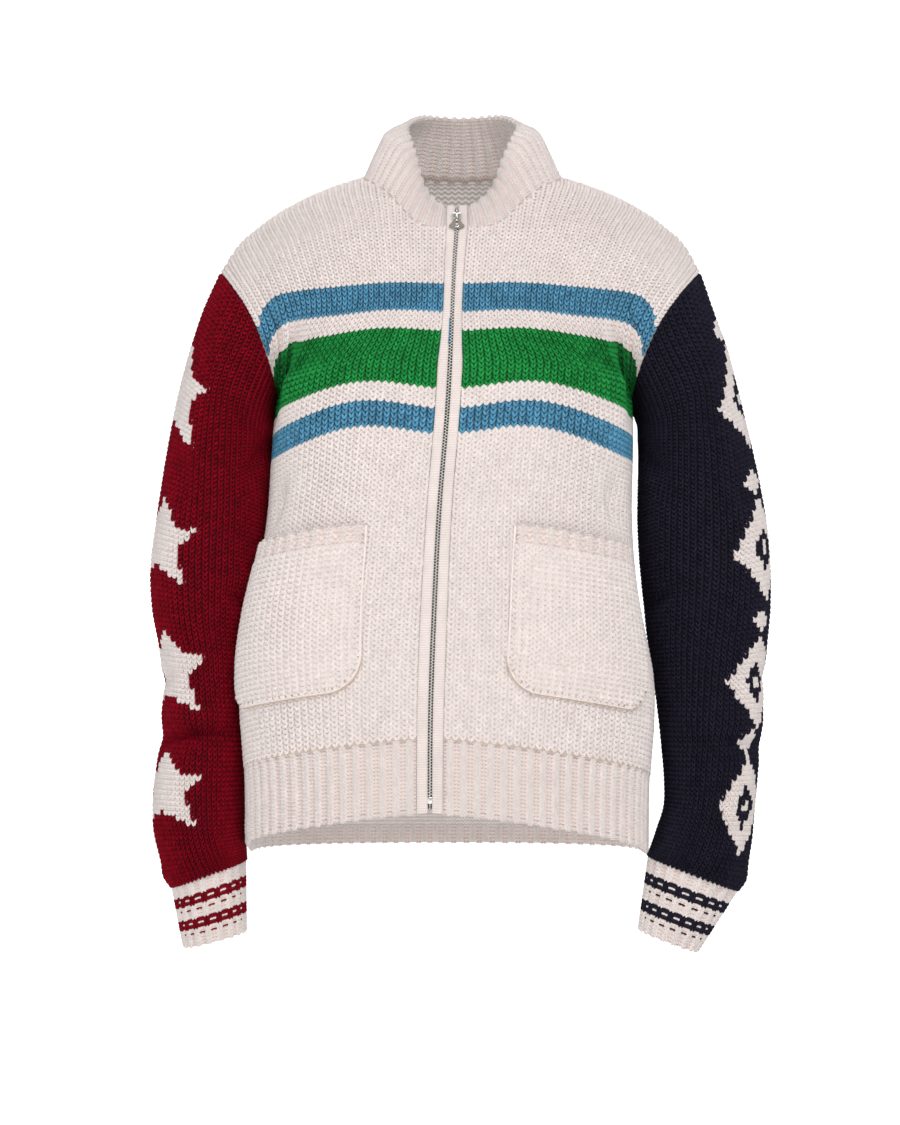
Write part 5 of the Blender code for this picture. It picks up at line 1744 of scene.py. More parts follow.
@dataclass
class Ribbing:
    """Two-by-two ribbing: pairs of raised knit wales between pairs of sunk purl wales.

    Attributes:
        repeats: How many times the four wales repeat across the band.
        closed: Whether the band runs all round.
        inside: How the band's inner face follows the outer one.
        wale: The width of a wale, in millimetres.
        course: The height of a course.
        way: 1 where the courses are counted upwards, -1 where downwards.
        proud: How far the raised wales' faces stand off the band's own face.
        depth: How far the purl wales lie below the knit ones.
        core: How far the core lies below the stitches' face.
        sharp: How square the ribs are.
        face: How far the stitches' own cells lie off that face.
        lining: How far the inner face lies off the band's own inner face.
    """

    repeats: int
    closed: bool
    inside: Inside = Inside.OTHER
    wale: float = 3.2
    course: float = 3.5
    way: float = -1.0
    proud: float = 0.3
    depth: float = 2.0
    core: float = -1.4
    sharp: float = 2.0
    face: float = -0.8
    lining: float = -0.1

    def sink(self, places: Array) -> Array:
        """How far the band sinks at each place: tanh(k cos(2 pi t)) eased from 0 to depth."""
        wave = np.tanh(self.sharp * np.cos(2 * np.pi * places * self.repeats))
        return self.depth * (1 + wave / math.tanh(self.sharp)) / 2

    def shaped(self, face: Surface, turned: Array) -> Surface:
        """A band's face with its ribs raised and sunk.

        Args:
            face: The band's plain face.
            turned: For each row, 0 outside, 1 inside and between them round the edge.

        Returns:
            The ribbed face.
        """
        sink = self.sink(face.columns)[None, :]
        share, follow = self.inside.value
        lining = self.proud + self.core if self.inside is Inside.SAME else self.lining
        outside = self.proud + self.core - sink
        inside = lining - share * self.depth - follow * sink
        out = outside * (1 - turned[:, None]) + inside * turned[:, None]
        return Surface(face.rows, face.columns, face.points + out[..., None] * face.normals,
                       face.normals)

    def shapes(self) -> tuple[list, list]:
        """A knit wale's two legs and a purl wale's two grains."""
        knit = StitchShape(self.wale, self.course, 15.0, 5.5, 1.75, 1.1, -0.9, 0.25)
        purl = StitchShape(self.wale, self.course, 64.0, 2.9, 2.2, 0.75, -0.5, 0.25, ((-0.1, 1.0),))
        return knit.legs(), purl.legs()

    def wales(self, centres: Sequence[float]) -> Array:
        """Places across the band of the wales that lie at these shares of a repeat."""
        starts = np.arange(self.repeats)[:, None] + np.array(centres)[None, :]
        return (starts / self.repeats).reshape(-1)

    def lay(self, name: str, band: FoldedBand, face: Surface, last: float, palette: Palette,
            colour_of: Callable[[Array, Array, bool], Array], yarns: dict, seed: int) -> None:
        """Lay a band's stitches, one mesh for each yarn.

        Args:
            name: The band's name.
            band: The band that is folded.
            face: Its face, with rows in courses.
            last: The course it ends at.
            palette: The finishes.
            colour_of: Gives the number of the yarn of each stitch, from its course, its
                place and whether it is a purl.
            yarns: What each number stands for: a word and a yarn.
            seed: For the small unevenness.
        """
        ribbed = self.shaped(face, band.turned(face.rows))
        step = 1 / (4 * self.repeats)
        rows = np.arange(math.floor(last)) + 0.5
        knit, purl = self.shapes()
        for centres, shapes, word, purled in (((0.375, 0.625), knit, "knit", False),
                                              ((0.125, 0.875), purl, "purl", True)):
            col, row = cells(self.wales(centres), rows)
            if self.inside is Inside.OTHER:
                col = col + np.where(band.turned(row) > 0.5, 2 * step, 0.0)
                col = np.mod(col, 1.0) if self.closed else col
            col, row = col[col < 1], row[col < 1]
            laid = Stitches(ribbed, row, col, self.way, step, out=self.face - self.core,
                            wrap=1.0 if self.closed else 0.0, seed=seed + purled)
            chart = colour_of(row, col, purled)
            for number, (tone, yarn) in yarns.items():
                laid.build(f"{name}_{word}_{tone}", shapes, yarn, palette, chart == number)


def plain(row: Array, col: Array, purled: bool) -> Array:
    """The chart of a band of one yarn."""
    return np.zeros(row.shape, int)


@dataclass
class FoldedBand:
    """A band that runs from its seam to its free edge, turns over it and runs back inside.

    Attributes:
        face: The outer face; its rows run from seam to edge or from edge to seam.
        seam: The row of the seam.
        edge: The row of the free edge.
        thick: The band's thickness.
        courses: How many courses lie between seam and edge.
        outer_rows: How many rows of points its outer face is given.
        arc_rows: The same, round the free edge.
        inner_rows: The same, inside.
    """

    face: Surface
    seam: float
    edge: float
    thick: float
    courses: int
    outer_rows: int = 9
    arc_rows: int = 5
    inner_rows: int = 7

    def turn(self) -> float:
        """How many courses lie round the edge: half a circle of the band's thickness."""
        ends = [self.face.at(row, self.face.columns)[0] for row in (self.seam, self.edge)]
        length = float(np.linalg.norm(ends[1] - ends[0], axis=1).mean())
        return math.pi * self.thick / 2 / length * self.courses

    def turned(self, rows: Array) -> Array:
        """0 on the outer face and 1 on the inner one; it changes in the second half of the turn."""
        half = self.turn() / 2
        return ease((rows - self.courses - half) / half)

    def surface(self, columns: Array) -> Surface:
        """The whole folded face, its rows counted in courses from the outer seam.

        Args:
            columns: The face's columns that are wanted.

        Returns:
            The face, out of the cloth on both sides.
        """
        outer = np.linspace(0, self.courses, self.outer_rows)
        swing = np.linspace(0, 1, self.arc_rows + 1)[1:]
        inner = np.linspace(0, self.courses, self.inner_rows)[1:]
        places = self.seam + (self.edge - self.seam) * outer / self.courses
        points, ways = self.face.at(places[:, None], columns[None, :])
        before = self.face.at(self.edge + (self.seam - self.edge) * 0.04, columns)[0]
        rim, out = points[-1], ways[-1]
        up = rim - before
        up = unit(up - out * (up * out).sum(axis=1, keepdims=True))
        angle = (np.pi * swing)[:, None, None]
        around = np.cos(angle) * out[None] + np.sin(angle) * up[None]
        arc = rim[None] + self.thick / 2 * (around - out[None])
        back_places = self.edge + (self.seam - self.edge) * inner / self.courses
        back, back_ways = self.face.at(back_places[:, None], columns[None, :])
        turn = self.turn()
        rows = np.concatenate([outer, self.courses + turn * swing, self.courses + turn + inner])
        return Surface(rows, columns, np.concatenate([points, arc, back - self.thick * back_ways]),
                       np.concatenate([ways, around, -back_ways]))


def cord(name: str, path: Array, ways: Array, radius: float, yarn: Yarn,
         palette: Palette) -> None:
    """A round strand along a path: a circle spanned by the way out and the way beside it.

    Args:
        name: The piece's name.
        path: Points of the strand's middle.
        ways: The cloth's direction at each of them.
        radius: The strand's radius.
        yarn: Its yarn.
        palette: The finishes.
    """
    run = unit(np.gradient(path, axis=0))
    beside = unit(np.cross(run, ways))
    sides, count = 8, len(path)
    turn = np.linspace(0, 2 * np.pi, sides, endpoint=False)[None, :, None]
    rings = path[:, None] + radius * (np.cos(turn) * beside[:, None]
                                      + np.sin(turn) * np.cross(beside, run)[:, None])
    faces = [grid_quads(count, sides, True, True), end_caps(sides * (count - 1), sides, False)]
    twist = np.mod(walked_share(path) * count / 3, 1.5)
    spots = knit_map(np.full(sides, 0.5), twist, faces, 1, 0)
    write_mesh(name, rings.reshape(-1, 3), faces, palette.yarn[yarn], spots)


def tube_quads(rows: int, columns: int, closed: bool, flip: bool) -> Array:
    """Quads of a folded band: its grid, the seam that joins last row to first, and its ends.

    Args:
        rows: The grid's rows.
        columns: Its columns.
        closed: Whether its last column joins its first.
        flip: Whether its faces are turned over.

    Returns:
        Four vertex numbers for each face; a point may stand in one twice.
    """
    grid = np.arange(rows * columns).reshape(rows, columns)
    faces = [grid_quads(rows, columns, closed, False)]
    low, high = grid[-1], grid[0]
    if closed:
        faces.append(np.stack([low, np.roll(low, -1), np.roll(high, -1), high], axis=-1))
    else:
        faces.append(np.stack([low[:-1], low[1:], high[1:], high[:-1]], axis=-1))
        half = rows // 2
        for end, back in ((grid[:, 0], True), (grid[:, -1], False)):
            near, far = end[:half], end[::-1][:half]
            cap = np.stack([near[:-1], near[1:], far[1:], far[:-1]], axis=-1)
            faces.append(cap[:, ::-1] if not back else cap)
            if rows % 2:
                tip = [near[-1], end[half], far[-1], far[-1]]
                faces.append(np.array([tip if back else tip[::-1]]))
    quads = np.concatenate(faces)
    return quads[:, ::-1] if flip else quads


def split_quads(quads: Array) -> list:
    """Quads, with those that name a corner twice turned into triangles.

    Args:
        quads: Four vertex numbers for each face.

    Returns:
        Arrays of quads and of triangles.
    """
    double = quads[:, 2] == quads[:, 3]
    other = quads[:, 0] == quads[:, 1]
    tris = np.concatenate([quads[double][:, :3], quads[other][:, 1:]])
    whole = quads[~(double | other)]
    return [whole, tris] if len(tris) else [whole]


def knit_map(columns: Array, rows: Array, faces: Sequence[Array], copies: int,
             around: float) -> Array:
    """A map that counts wales across and courses along, one pair for each corner.

    Args:
        columns: The wales at the grid's columns.
        rows: The courses at the grid's rows.
        faces: The mesh's faces.
        copies: How many grids the mesh holds.
        around: How many wales lie all round, or 0 for an open piece.

    Returns:
        The pairs, in the faces' order.
    """
    spots = np.tile(np.stack(cells(columns, rows), axis=-1), (copies, 1))
    maps = []
    for group in faces:
        pair = spots[group]
        if around:
            wide = np.ptp(pair[..., 0], axis=1) > around / 2
            pair[wide, :, 0] += np.where(pair[wide, :, 0] < around / 2, around, 0)
        maps.append(pair.reshape(-1, 2))
    return np.concatenate(maps)


@dataclass
class RibbedBand:
    """A hem, cuff or collar: its folded core and the ribbing's stitches on it.

    Attributes:
        flat: Its flat size, in metres; not used.
        inside_courses: How many courses of stitches show inside.
        sides: How many faces of the core lie across one repeat of the ribs.
        colour_of: Which yarn's number each cell takes.
        yarns: A name and a yarn for each number.
        seed: The seed of the stitches' unevenness.
    """

    name: str
    band: FoldedBand
    rib: Ribbing
    palette: Palette
    flat: tuple
    inside_courses: float
    sides: int = 8
    colour_of: Callable = plain
    yarns: dict = field(default_factory=lambda: {0: ("cream", Yarn.CREAM)})
    seed: int = 51

    def build(self) -> None:
        closed = self.rib.closed
        count = self.rib.repeats * self.sides
        columns = np.linspace(0, 1, count + 1)
        face = self.band.surface(columns)
        ribbed = self.rib.shaped(face, self.band.turned(face.rows))
        grid = ribbed.points[:, :-1] if closed else ribbed.points
        wales = self.rib.repeats * 4
        item = folded_core(self.name, grid, columns[:grid.shape[1]] * self.rib.repeats * 4, face,
                           wales if closed else 0, self.palette)
        self.tint(item, face)
        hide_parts(self.name)
        last = self.band.courses + self.band.turn() + self.inside_courses
        self.rib.lay(self.name, self.band, face, last, self.palette, self.colour_of, self.yarns,
                     self.seed)
        LOG.info("band %s", self.name)

    def tint(self, item: bpy.types.Object, face: Surface) -> None:
        """Colour the core's faces like the stitches that cover them, with painted shade where they
        are covered.

        Args:
            item: The core.
            face: The folded face.
        """
        total = len(item.data.polygons)
        row = (face.rows[:-1] + face.rows[1:]) / 2
        col = (face.columns[:-1] + face.columns[1:]) / 2
        row, col = np.meshgrid(row, col, indexing="ij")
        chart = self.colour_of(row.reshape(-1), col.reshape(-1), False)
        table = np.array([self.yarns[k][1].value for k in sorted(self.yarns)])
        colours = np.ones((total, 3)) * table[0]
        colours[:len(chart)] = table[chart]
        covered = self.band.courses + self.band.turn() + self.inside_courses
        under = np.append(row.reshape(-1) < covered, np.zeros(total - len(chart), bool))
        # Painted shade on the covered faces: dark yarn keeps 0.8 of its colour, pale yarn is
        # warmed.
        colours[under] = shaded(colours[under], 0.8)
        paint(item, colours)


@dataclass
class HemShape:
    """The hem band's face: rows by height, columns round it from zip to zip.

    Attributes:
        body: The body it hangs from.
        evened: How many neighbours' directions are averaged, so that no seam shows.
    """

    body: BodyShape
    evened: int = 9

    def surface(self) -> Surface:
        """Join the four quarters' lower edges into one long face.

        Returns:
            The face.
        """
        first = PANEL_INNER / HALF_WIDTH
        quarters = [(-1, True, first, 1.0), (-1, False, 1.0, 0.0),
                    (1, False, 0.0, 1.0), (1, True, 1.0, first)]
        heights = np.linspace(-HEM_DEPTH, 0, 16)
        faces, places, length = [], [], 0.0
        for number, (side, front, begin, end) in enumerate(quarters):
            fractions = np.linspace(begin, end, 170)[(1 if number else 0):]
            faces.append(self.body.quarter(side, front).at(heights[:, None], fractions[None, :]))
            places.append(length + np.abs(fractions - begin))
            length += abs(end - begin)
        columns = np.concatenate(places) / length
        points, normals = (np.concatenate(parts, axis=1) for parts in zip(*faces))
        half = self.evened // 2
        kernel = np.ones(self.evened) / self.evened
        padded = np.concatenate([normals[:, :1].repeat(half, axis=1), normals,
                                 normals[:, -1:].repeat(half, axis=1)], axis=1)
        evened = np.apply_along_axis(lambda run: np.convolve(run, kernel, "valid"), 1, padded)
        return Surface(heights, columns, points, unit(evened))


@dataclass
class CuffStripes:
    """Two narrow stripes on a cuff, knitted in the sleeve's yarn.

    The knit wales change yarn at the course itself. A purl stitch shows the yarn before
    it, so at each change the purl wales carry a dash of the other colour.
    """

    courses: int = 19
    bands: tuple = ((4.0, 7.0), (11.0, 14.0))

    def chart(self, row: Array, col: Array, purled: bool) -> Array:
        """1 where the sleeve's yarn shows and 0 where the cream does.

        Args:
            row: The stitches' courses.
            col: Their places round the cuff.
            purled: Whether they are purls.

        Returns:
            The yarn's number for each stitch.
        """
        found = np.zeros(row.shape, int)
        for low, high in self.bands:
            if purled:
                dash = (row >= low + 1) & (row < low + 2)
                after = (row >= high + 1) & (row < high + 2)
                found[((row >= low) & (row < high) & ~dash) | after] = 1
            else:
                found[(row >= low) & (row < high)] = 1
        return found


@dataclass
class Pocket:
    """A patch pocket that bellies out towards its ribbed mouth.

    It is read by height along the front and place across it, from its inner edge (0) to
    its outer one (1). Its lower corners are round.

    Attributes:
        lean: How much further out, as a fraction, its inner edge lies at the mouth.
        outer: The fraction across the front of its outer edge.
        wall: How far its outer face stands off the front where it lies flat.
        lift: A little more room for the front's own stitches.
        bulge: How far its middle bellies out.
        belly: How square the bulge is across.
        gape: How square it is upwards.
        levels: How many levels its core is counted in.
        rib_start: Over how many millimetres the ribs rise.
        rib_courses: The courses of the ribbed mouth.
        inside_courses: The courses that show inside the mouth.
        cloth: The thickness of its core.
        rim_sunk: How deep the rim's cord lies in the pocket's face.
        rim_radius: The cord's radius.
        thread_sunk: How deep the tan thread lies.
        thread_out: How far outside the rim it lies.
        thread_radius: The thread's radius.
        sewing_inset: How far inside the edges the line of sewing runs.
        sewing_pitch: The distance between its stitches.
    """

    side: int
    name: str
    body: BodyShape
    palette: Palette
    lean: float = 0.020
    outer: float = 0.800
    foot: float = 50.0
    mouth: float = 199.0
    corner: float = 30.0
    rib_depth: float = 19.0
    wall: float = 3.5
    lift: float = 0.8
    bulge: float = 9.5
    belly: float = 0.75
    gape: float = 1.2
    repeats: int = 11
    wales: int = 22
    course: float = 4.72
    levels: int = 30
    rib_start: float = 3.0
    rib_courses: int = 6
    inside_courses: int = 2
    cloth: float = 2.9
    rim_sunk: float = 2.1
    rim_radius: float = 1.35
    thread_sunk: float = 2.7
    thread_out: float = 1.9
    thread_radius: float = 0.6
    sewing_inset: float = 1.6
    sewing_pitch: float = 6.4

    @property
    def width(self) -> float:
        """The pocket's width at its foot, in millimetres."""
        return (self.outer - self.start(self.side)) * HALF_WIDTH

    @staticmethod
    def start(side: int) -> float:
        """The fraction across the front at which a pocket's inner edge starts."""
        return 0.235 if side < 0 else 0.255

    def low(self, places: Array) -> Array:
        """The height of the pocket's lower edge at each place, its corners quarter circles."""
        into = np.clip(self.corner - np.minimum(places, 1 - places) * self.width, 0, self.corner)
        return self.foot + self.corner - np.sqrt(self.corner ** 2 - into ** 2)

    def face(self, heights: Array, places: Array) -> tuple[Array, Array]:
        """Points and directions of the outer face at heights and places.

        Args:
            heights: Heights along the front.
            places: Places across the pocket.

        Returns:
            The points and directions.
        """
        heights, places = np.broadcast_arrays(heights, places)
        low = self.low(places)
        level = np.clip((heights - low) / (self.mouth - low), 0, 1)
        inner = self.start(self.side) + self.lean * level
        fractions = inner + (self.outer - inner) * places
        base, ways = self.body.quarter(self.side, True).at(heights, fractions)
        across = np.maximum(np.sin(np.pi * np.clip(places, 0, 1)), 0) ** self.belly
        swell = across * np.sin(level * np.pi / 2) ** self.gape
        return base + (self.lift + self.wall + self.bulge * swell)[..., None] * ways, ways

    def grid(self, rows: Array, columns: Array, by_level: bool) -> Surface:
        """The face on a grid, its rows either heights or shares of the way to the mouth.

        Args:
            rows: The rows.
            columns: Places across the pocket.
            by_level: Whether the rows are shares of the way to the mouth.

        Returns:
            The face.
        """
        if by_level:
            low = self.low(columns)
            heights = low[None, :] + (self.mouth - low)[None, :] * rows[:, None]
        else:
            heights = np.broadcast_to(rows[:, None], (len(rows), len(columns)))
        points, _ = self.face(heights, np.broadcast_to(columns[None, :], heights.shape))
        normals = grid_normals(points, self.side < 0)
        return Surface(rows, columns, points, normals)

    def build(self) -> None:
        """Make the pocket's core, its stocking stitch, its ribbed mouth and its edge."""
        columns = np.linspace(0, 1, self.repeats * 6 + 1)
        level = self.grid(np.linspace(0, 1, 25), np.linspace(0, 1, 121), True)
        band = FoldedBand(level, 0.0, 1.0, self.cloth, self.levels, outer_rows=31,
                          inner_rows=9)
        folded = band.surface(columns)
        height = self.mouth - self.foot
        walked = folded.rows * height / self.levels
        ribbed = np.clip((walked - (height - self.rib_depth)) / self.rib_start, 0, 1)
        rib = Ribbing(self.repeats, False, Inside.PLAIN, wale=3.4, way=1.0, proud=0.2,
                      depth=1.75, core=-1.1, lining=-0.1)
        turned = band.turned(folded.rows)
        outer = rib.proud + rib.core - ribbed[:, None] * rib.sink(columns)[None, :]
        out = outer * (1 - turned[:, None]) + rib.lining * turned[:, None]
        points = folded.points + out[..., None] * folded.normals
        item = folded_core(self.name, points, columns * self.wales, folded, 0, self.palette)
        covered = np.repeat(folded.rows[:-1] < self.levels, len(columns) - 1)
        tint = np.ones((len(item.data.polygons), 3)) * Yarn.CREAM.value
        # Painted light: the covered faces are tinted warm, for light through the pale wool.
        tint[:len(covered)][covered] *= UNDER_PALE_PAINTED_LIGHT
        paint(item, tint)
        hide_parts(self.name)
        self.width * MM
        0.97 * self.width * height * MM * MM
        self.stitches(rib)
        self.rim()

    def rim(self) -> None:
        """Round off the sides and foot with a cord, and lay a tan thread along the foot."""
        width = self.width
        turn = np.linspace(0, np.pi / 2, 12)
        rise = np.linspace(self.mouth - 1, self.foot + self.corner + 3, 30)
        run = np.linspace(self.corner + 3, width - self.corner - 3, 24)
        bend = self.corner * (1 - np.cos(turn))
        drop = self.foot + self.corner * (1 - np.sin(turn))
        spots = np.concatenate([0 * rise, bend, run, width - bend[::-1], 0 * rise + width])
        rows = np.concatenate([rise, drop, 0 * run + self.foot, drop[::-1], rise[::-1]])
        points, ways = self.face(rows, np.clip(spots / width, 0, 1))
        cord(f"{self.name}_rim", points - self.rim_sunk * ways, ways, self.rim_radius,
             Yarn.CREAM, self.palette)
        foot = slice(len(rise), -len(rise))
        out = unit(np.cross(unit(np.gradient(points, axis=0)), ways)) * self.side
        thread = points - self.thread_sunk * ways + self.thread_out * out
        cord(f"{self.name}_thread", thread[foot], ways[foot], self.thread_radius,
             Yarn.TAN, self.palette)

    def stitches(self, rib: Ribbing) -> None:
        """Lay the stocking stitch, the mouth's ribs and the line of sewing.

        Args:
            rib: The mouth's ribbing.
        """
        face = self.grid(np.linspace(self.foot - 3, self.mouth, 90), np.linspace(0, 1, 121), False)
        step = 1 / self.wales
        heights = np.arange(self.foot + self.course / 2, self.mouth - self.rib_depth, self.course)
        col, row = cells((np.arange(self.wales) + 0.5) * step, heights)
        keep = row > self.low(col) + 1.0
        laid = Stitches(face, row[keep], col[keep], self.course, step, seed=71 + self.side)
        laid.build(f"{self.name}_ground", StitchShape(wale=6.9).legs(), Yarn.CREAM, self.palette)
        top = FoldedBand(face, self.mouth - self.rib_depth, self.mouth, self.cloth,
                         self.rib_courses)
        rib.lay(self.name, top, top.surface(np.linspace(0, 1, 121)),
                self.rib_courses + top.turn() + self.inside_courses,
                self.palette, plain, {0: ("mouth", Yarn.CREAM)}, 73 + self.side)
        self.sewing(face)

    def sewing(self, face: Surface) -> None:
        """Lay a line of short slanted stitches just inside the side and lower edges.

        Args:
            face: The pocket's face, by height.
        """
        pitch, inset, width = self.sewing_pitch, self.sewing_inset, self.width
        rise = np.arange(self.foot + self.corner, self.mouth - 8, pitch)
        side_col = np.full(len(rise), inset / width)
        turn = np.linspace(0, np.pi / 2, 8)
        radius = self.corner - inset
        corner_col = (self.corner - radius * np.cos(turn)) / width
        corner_row = self.foot + self.corner - radius * np.sin(turn)
        run = np.arange(self.corner, width - self.corner, pitch)
        foot_row = np.full(len(run), self.foot + inset)
        col = np.concatenate([side_col, corner_col, run / width, 1 - corner_col])
        row = np.concatenate([rise, corner_row, foot_row, corner_row])
        shape = StitchShape(wale=4.0, course=4.0, lean=35.0, length=4.0, width=0.7, rise=0.6,
                            sunk=-0.9, apart=0.0)
        laid = Stitches(face, row, col, 4.0, 4.0 / width, out=0.35, seed=77 + self.side)
        laid.build(f"{self.name}_sewing", [shape.leg(1)], Yarn.TAN, self.palette)


@dataclass
class ZipLine:
    """The zip: facing bands, woven tapes, teeth, stop, slider and pull.

    Each side is read by distance up the zip and distance from its middle.

    Attributes:
        ridge: The pitch of the facings' ridges.
        tooth_pitch: The pitch of one side's teeth.
        tooth: A tooth's sections across the zip: place, half length and rise.
        tooth_sink: How far the teeth reach behind the face.
        teeth_low: The height of the lowest tooth.
        slider_share: The share of the collar's height at which the slider stands.
        away: Distances from the zip's middle at which its face is known.
        facing: A facing's section: distances from the middle, and how far each stands out.
        tape: A tape's section, the same way.
        yarn_end: The heights between which a stripe's loose yarn end hangs.
    """

    body: BodyShape
    collar: Surface
    palette: Palette
    ridge: float = FACING_RIDGE
    ridge_rise: float = 0.8
    tooth_pitch: float = 2.8
    tooth: tuple = ((-0.35, 0.42, 0.75), (0.35, 0.60, 1.25), (1.1, 0.50, 1.15), (1.95, 0.46, 0.55))
    tooth_sink: float = -1.6
    teeth_low: float = -54.3
    slider_share: float = 0.27
    away: tuple = (0.0, 2.6, 5.0, 7.2, 9.5, 12.2)
    facing: tuple = ((2.0, -0.6), (2.7, 0.35), (4.3, 0.8), (7.2, 0.9), (9.8, 0.8), (11.3, 0.35),
                     (11.85, -0.6))
    tape: tuple = ((0.5, -2.75), (4.0, -2.75), (8.0, -2.75), (11.8, -2.75))
    yarn_end: tuple = (377.0, 400.0)

    def face(self, side: int, low: float, top_share: float) -> Surface:
        """One side of the zip line, from the hem up to a share of the collar's height.

        Args:
            side: -1 for the right side and 1 for the left.
            low: The height at which it starts.
            top_share: The share of the collar's height at which it ends.

        Returns:
            The face, with rows and columns in millimetres.
        """
        heights = np.linspace(low, FRONT_NECK[0].height, 300)
        away = np.array(self.away)
        cloth = self.body.quarter(side, True)
        points, ways = cloth.at(heights[:, None], away[None, :] / HALF_WIDTH)
        shares = np.linspace(0, top_share, 24)
        climb, climb_way = self.collar.at(shares, 0.0 if side < 0 else 1.0)
        upper = points[-1][None] + (climb - climb[0])[1:, None, :]
        points = np.concatenate([points, upper])
        ways = np.concatenate([ways, np.repeat(climb_way[1:, None, :], len(away), axis=1)])
        steps = np.linalg.norm(np.diff(points[:, 0], axis=0), axis=1)
        rows = np.concatenate([[0.0], np.cumsum(steps)])
        return Surface(rows, away, points, ways)

    def strip(self, name: str, side: int, face: Surface, section: Sequence[tuple], depth: float,
              rows: Array, wave: float, material: bpy.types.Material,
              node: str) -> None:
        """A long strip: a closed wall whose outer face may be ridged across.

        Args:
            name: The piece's name.
            side: Which side of the zip it lies on.
            face: The zip line's face on that side.
            section: Distances from the zip's middle, and how far each stands off the face.
            depth: The strip's thickness.
            rows: Distances up the zip.
            wave: Height of the ridges.
            material: Its finish.
            node: The solid it stands for.
        """
        away, out = np.array(section).T
        base, ways = face.at(rows[:, None], away[None, :])
        middle = 4 * (away - away[0]) * (away[-1] - away) / (away[-1] - away[0]) ** 2
        ridge = wave * np.abs(np.sin(np.pi * rows / self.ridge))[:, None] * middle[None, :] ** 0.5
        walls = [base + (out[None, :] + ridge)[..., None] * ways,
                 base + (out.min() - depth) * ways]
        item = shell(name, walls, away, rows / FACING_UNIT, 0, side < 0, material)
        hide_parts(node)
        width = np.hypot(np.diff(away), np.diff(out)).sum() + depth

    def build(self) -> None:
        """Make every part of the zip."""
        for side, word in ((-1, "right"), (1, "left")):
            face = self.face(side, -HEM_DEPTH, 1.0)
            length = face.rows[-1]
            rows = np.linspace(0, length - 0.5, int(length / self.ridge * 2))
            self.strip(f"facing_{word}", side, face, self.facing, 1.8, rows, self.ridge_rise,
                       self.palette.facing, f"zip_band_{word}")
            rows = np.linspace(4.0, length - 3.0, 160)
            self.strip(f"tape_{word}", side, face, self.tape, 0.8, rows, 0.0, self.palette.tape,
                       f"zip_tape_{word}")
        self.teeth()
        self.strand()
        SliderAndPull(self).build()

    def strand(self) -> None:
        """Lay the end of a stripe's yarn that hangs beside the teeth for an inch."""
        heights = np.arange(*self.yarn_end, 5.0)
        shape = StitchShape(wale=1.0, course=1.0, lean=4.0, length=9.0, width=1.5, rise=1.3,
                            sunk=-0.4, apart=0.0)
        laid = Stitches(self.body.quarter(-1, True), heights,
                        (2.7 + 0.3 * np.sin(heights)) / HALF_WIDTH, 1.0, 1 / HALF_WIDTH,
                        out=0.4, seed=91)
        laid.build("yarn_end", [shape.leg(1)], Yarn.BLUE, self.palette)

    def teeth(self) -> None:
        """Make both sides' teeth as one joined mesh.

        A tooth is a loft of four upright rectangles across the zip: its head past the
        middle, its neck, its body and its foot on the tape. A front corner is drawn in to
        a share of the section's half length.
        """
        front_share = 0.62
        block = np.concatenate([grid_quads(4, 4, True, False), [[3, 2, 1, 0], [12, 13, 14, 15]]])
        points, faces, count = [], [], 0
        for side in (-1, 1):
            face = self.face(side, self.teeth_low, self.slider_share)
            places = np.arange(1.0, face.rows[-1] - 4.0, self.tooth_pitch)
            places = places + (0 if side < 0 else self.tooth_pitch / 2)
            centre, ways = face.at(places, 0.0)
            x = unit(face.at(places, 5.0)[0] - centre)
            y = unit(face.at(places + 0.5, 0.0)[0] - centre)
            corners = []
            for across, half, rise in self.tooth:
                for along, out in ((-half, self.tooth_sink), (half, self.tooth_sink),
                                   (half * front_share, rise), (-half * front_share, rise)):
                    corners.append(centre + x * across + y * along + ways * out)
            points.append(np.stack(corners, axis=1).reshape(-1, 3))
            shift = len(corners) * (count + np.arange(len(places)))[:, None, None]
            quads = (block[None] + shift).reshape(-1, 4)
            faces.append(quads[:, ::-1] if side > 0 else quads)
            count += len(places)
        item = write_mesh("zip_teeth", np.concatenate(points), faces, self.palette.teeth)
        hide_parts("zip_chain")
        LOG.info("zip teeth: %d", count)


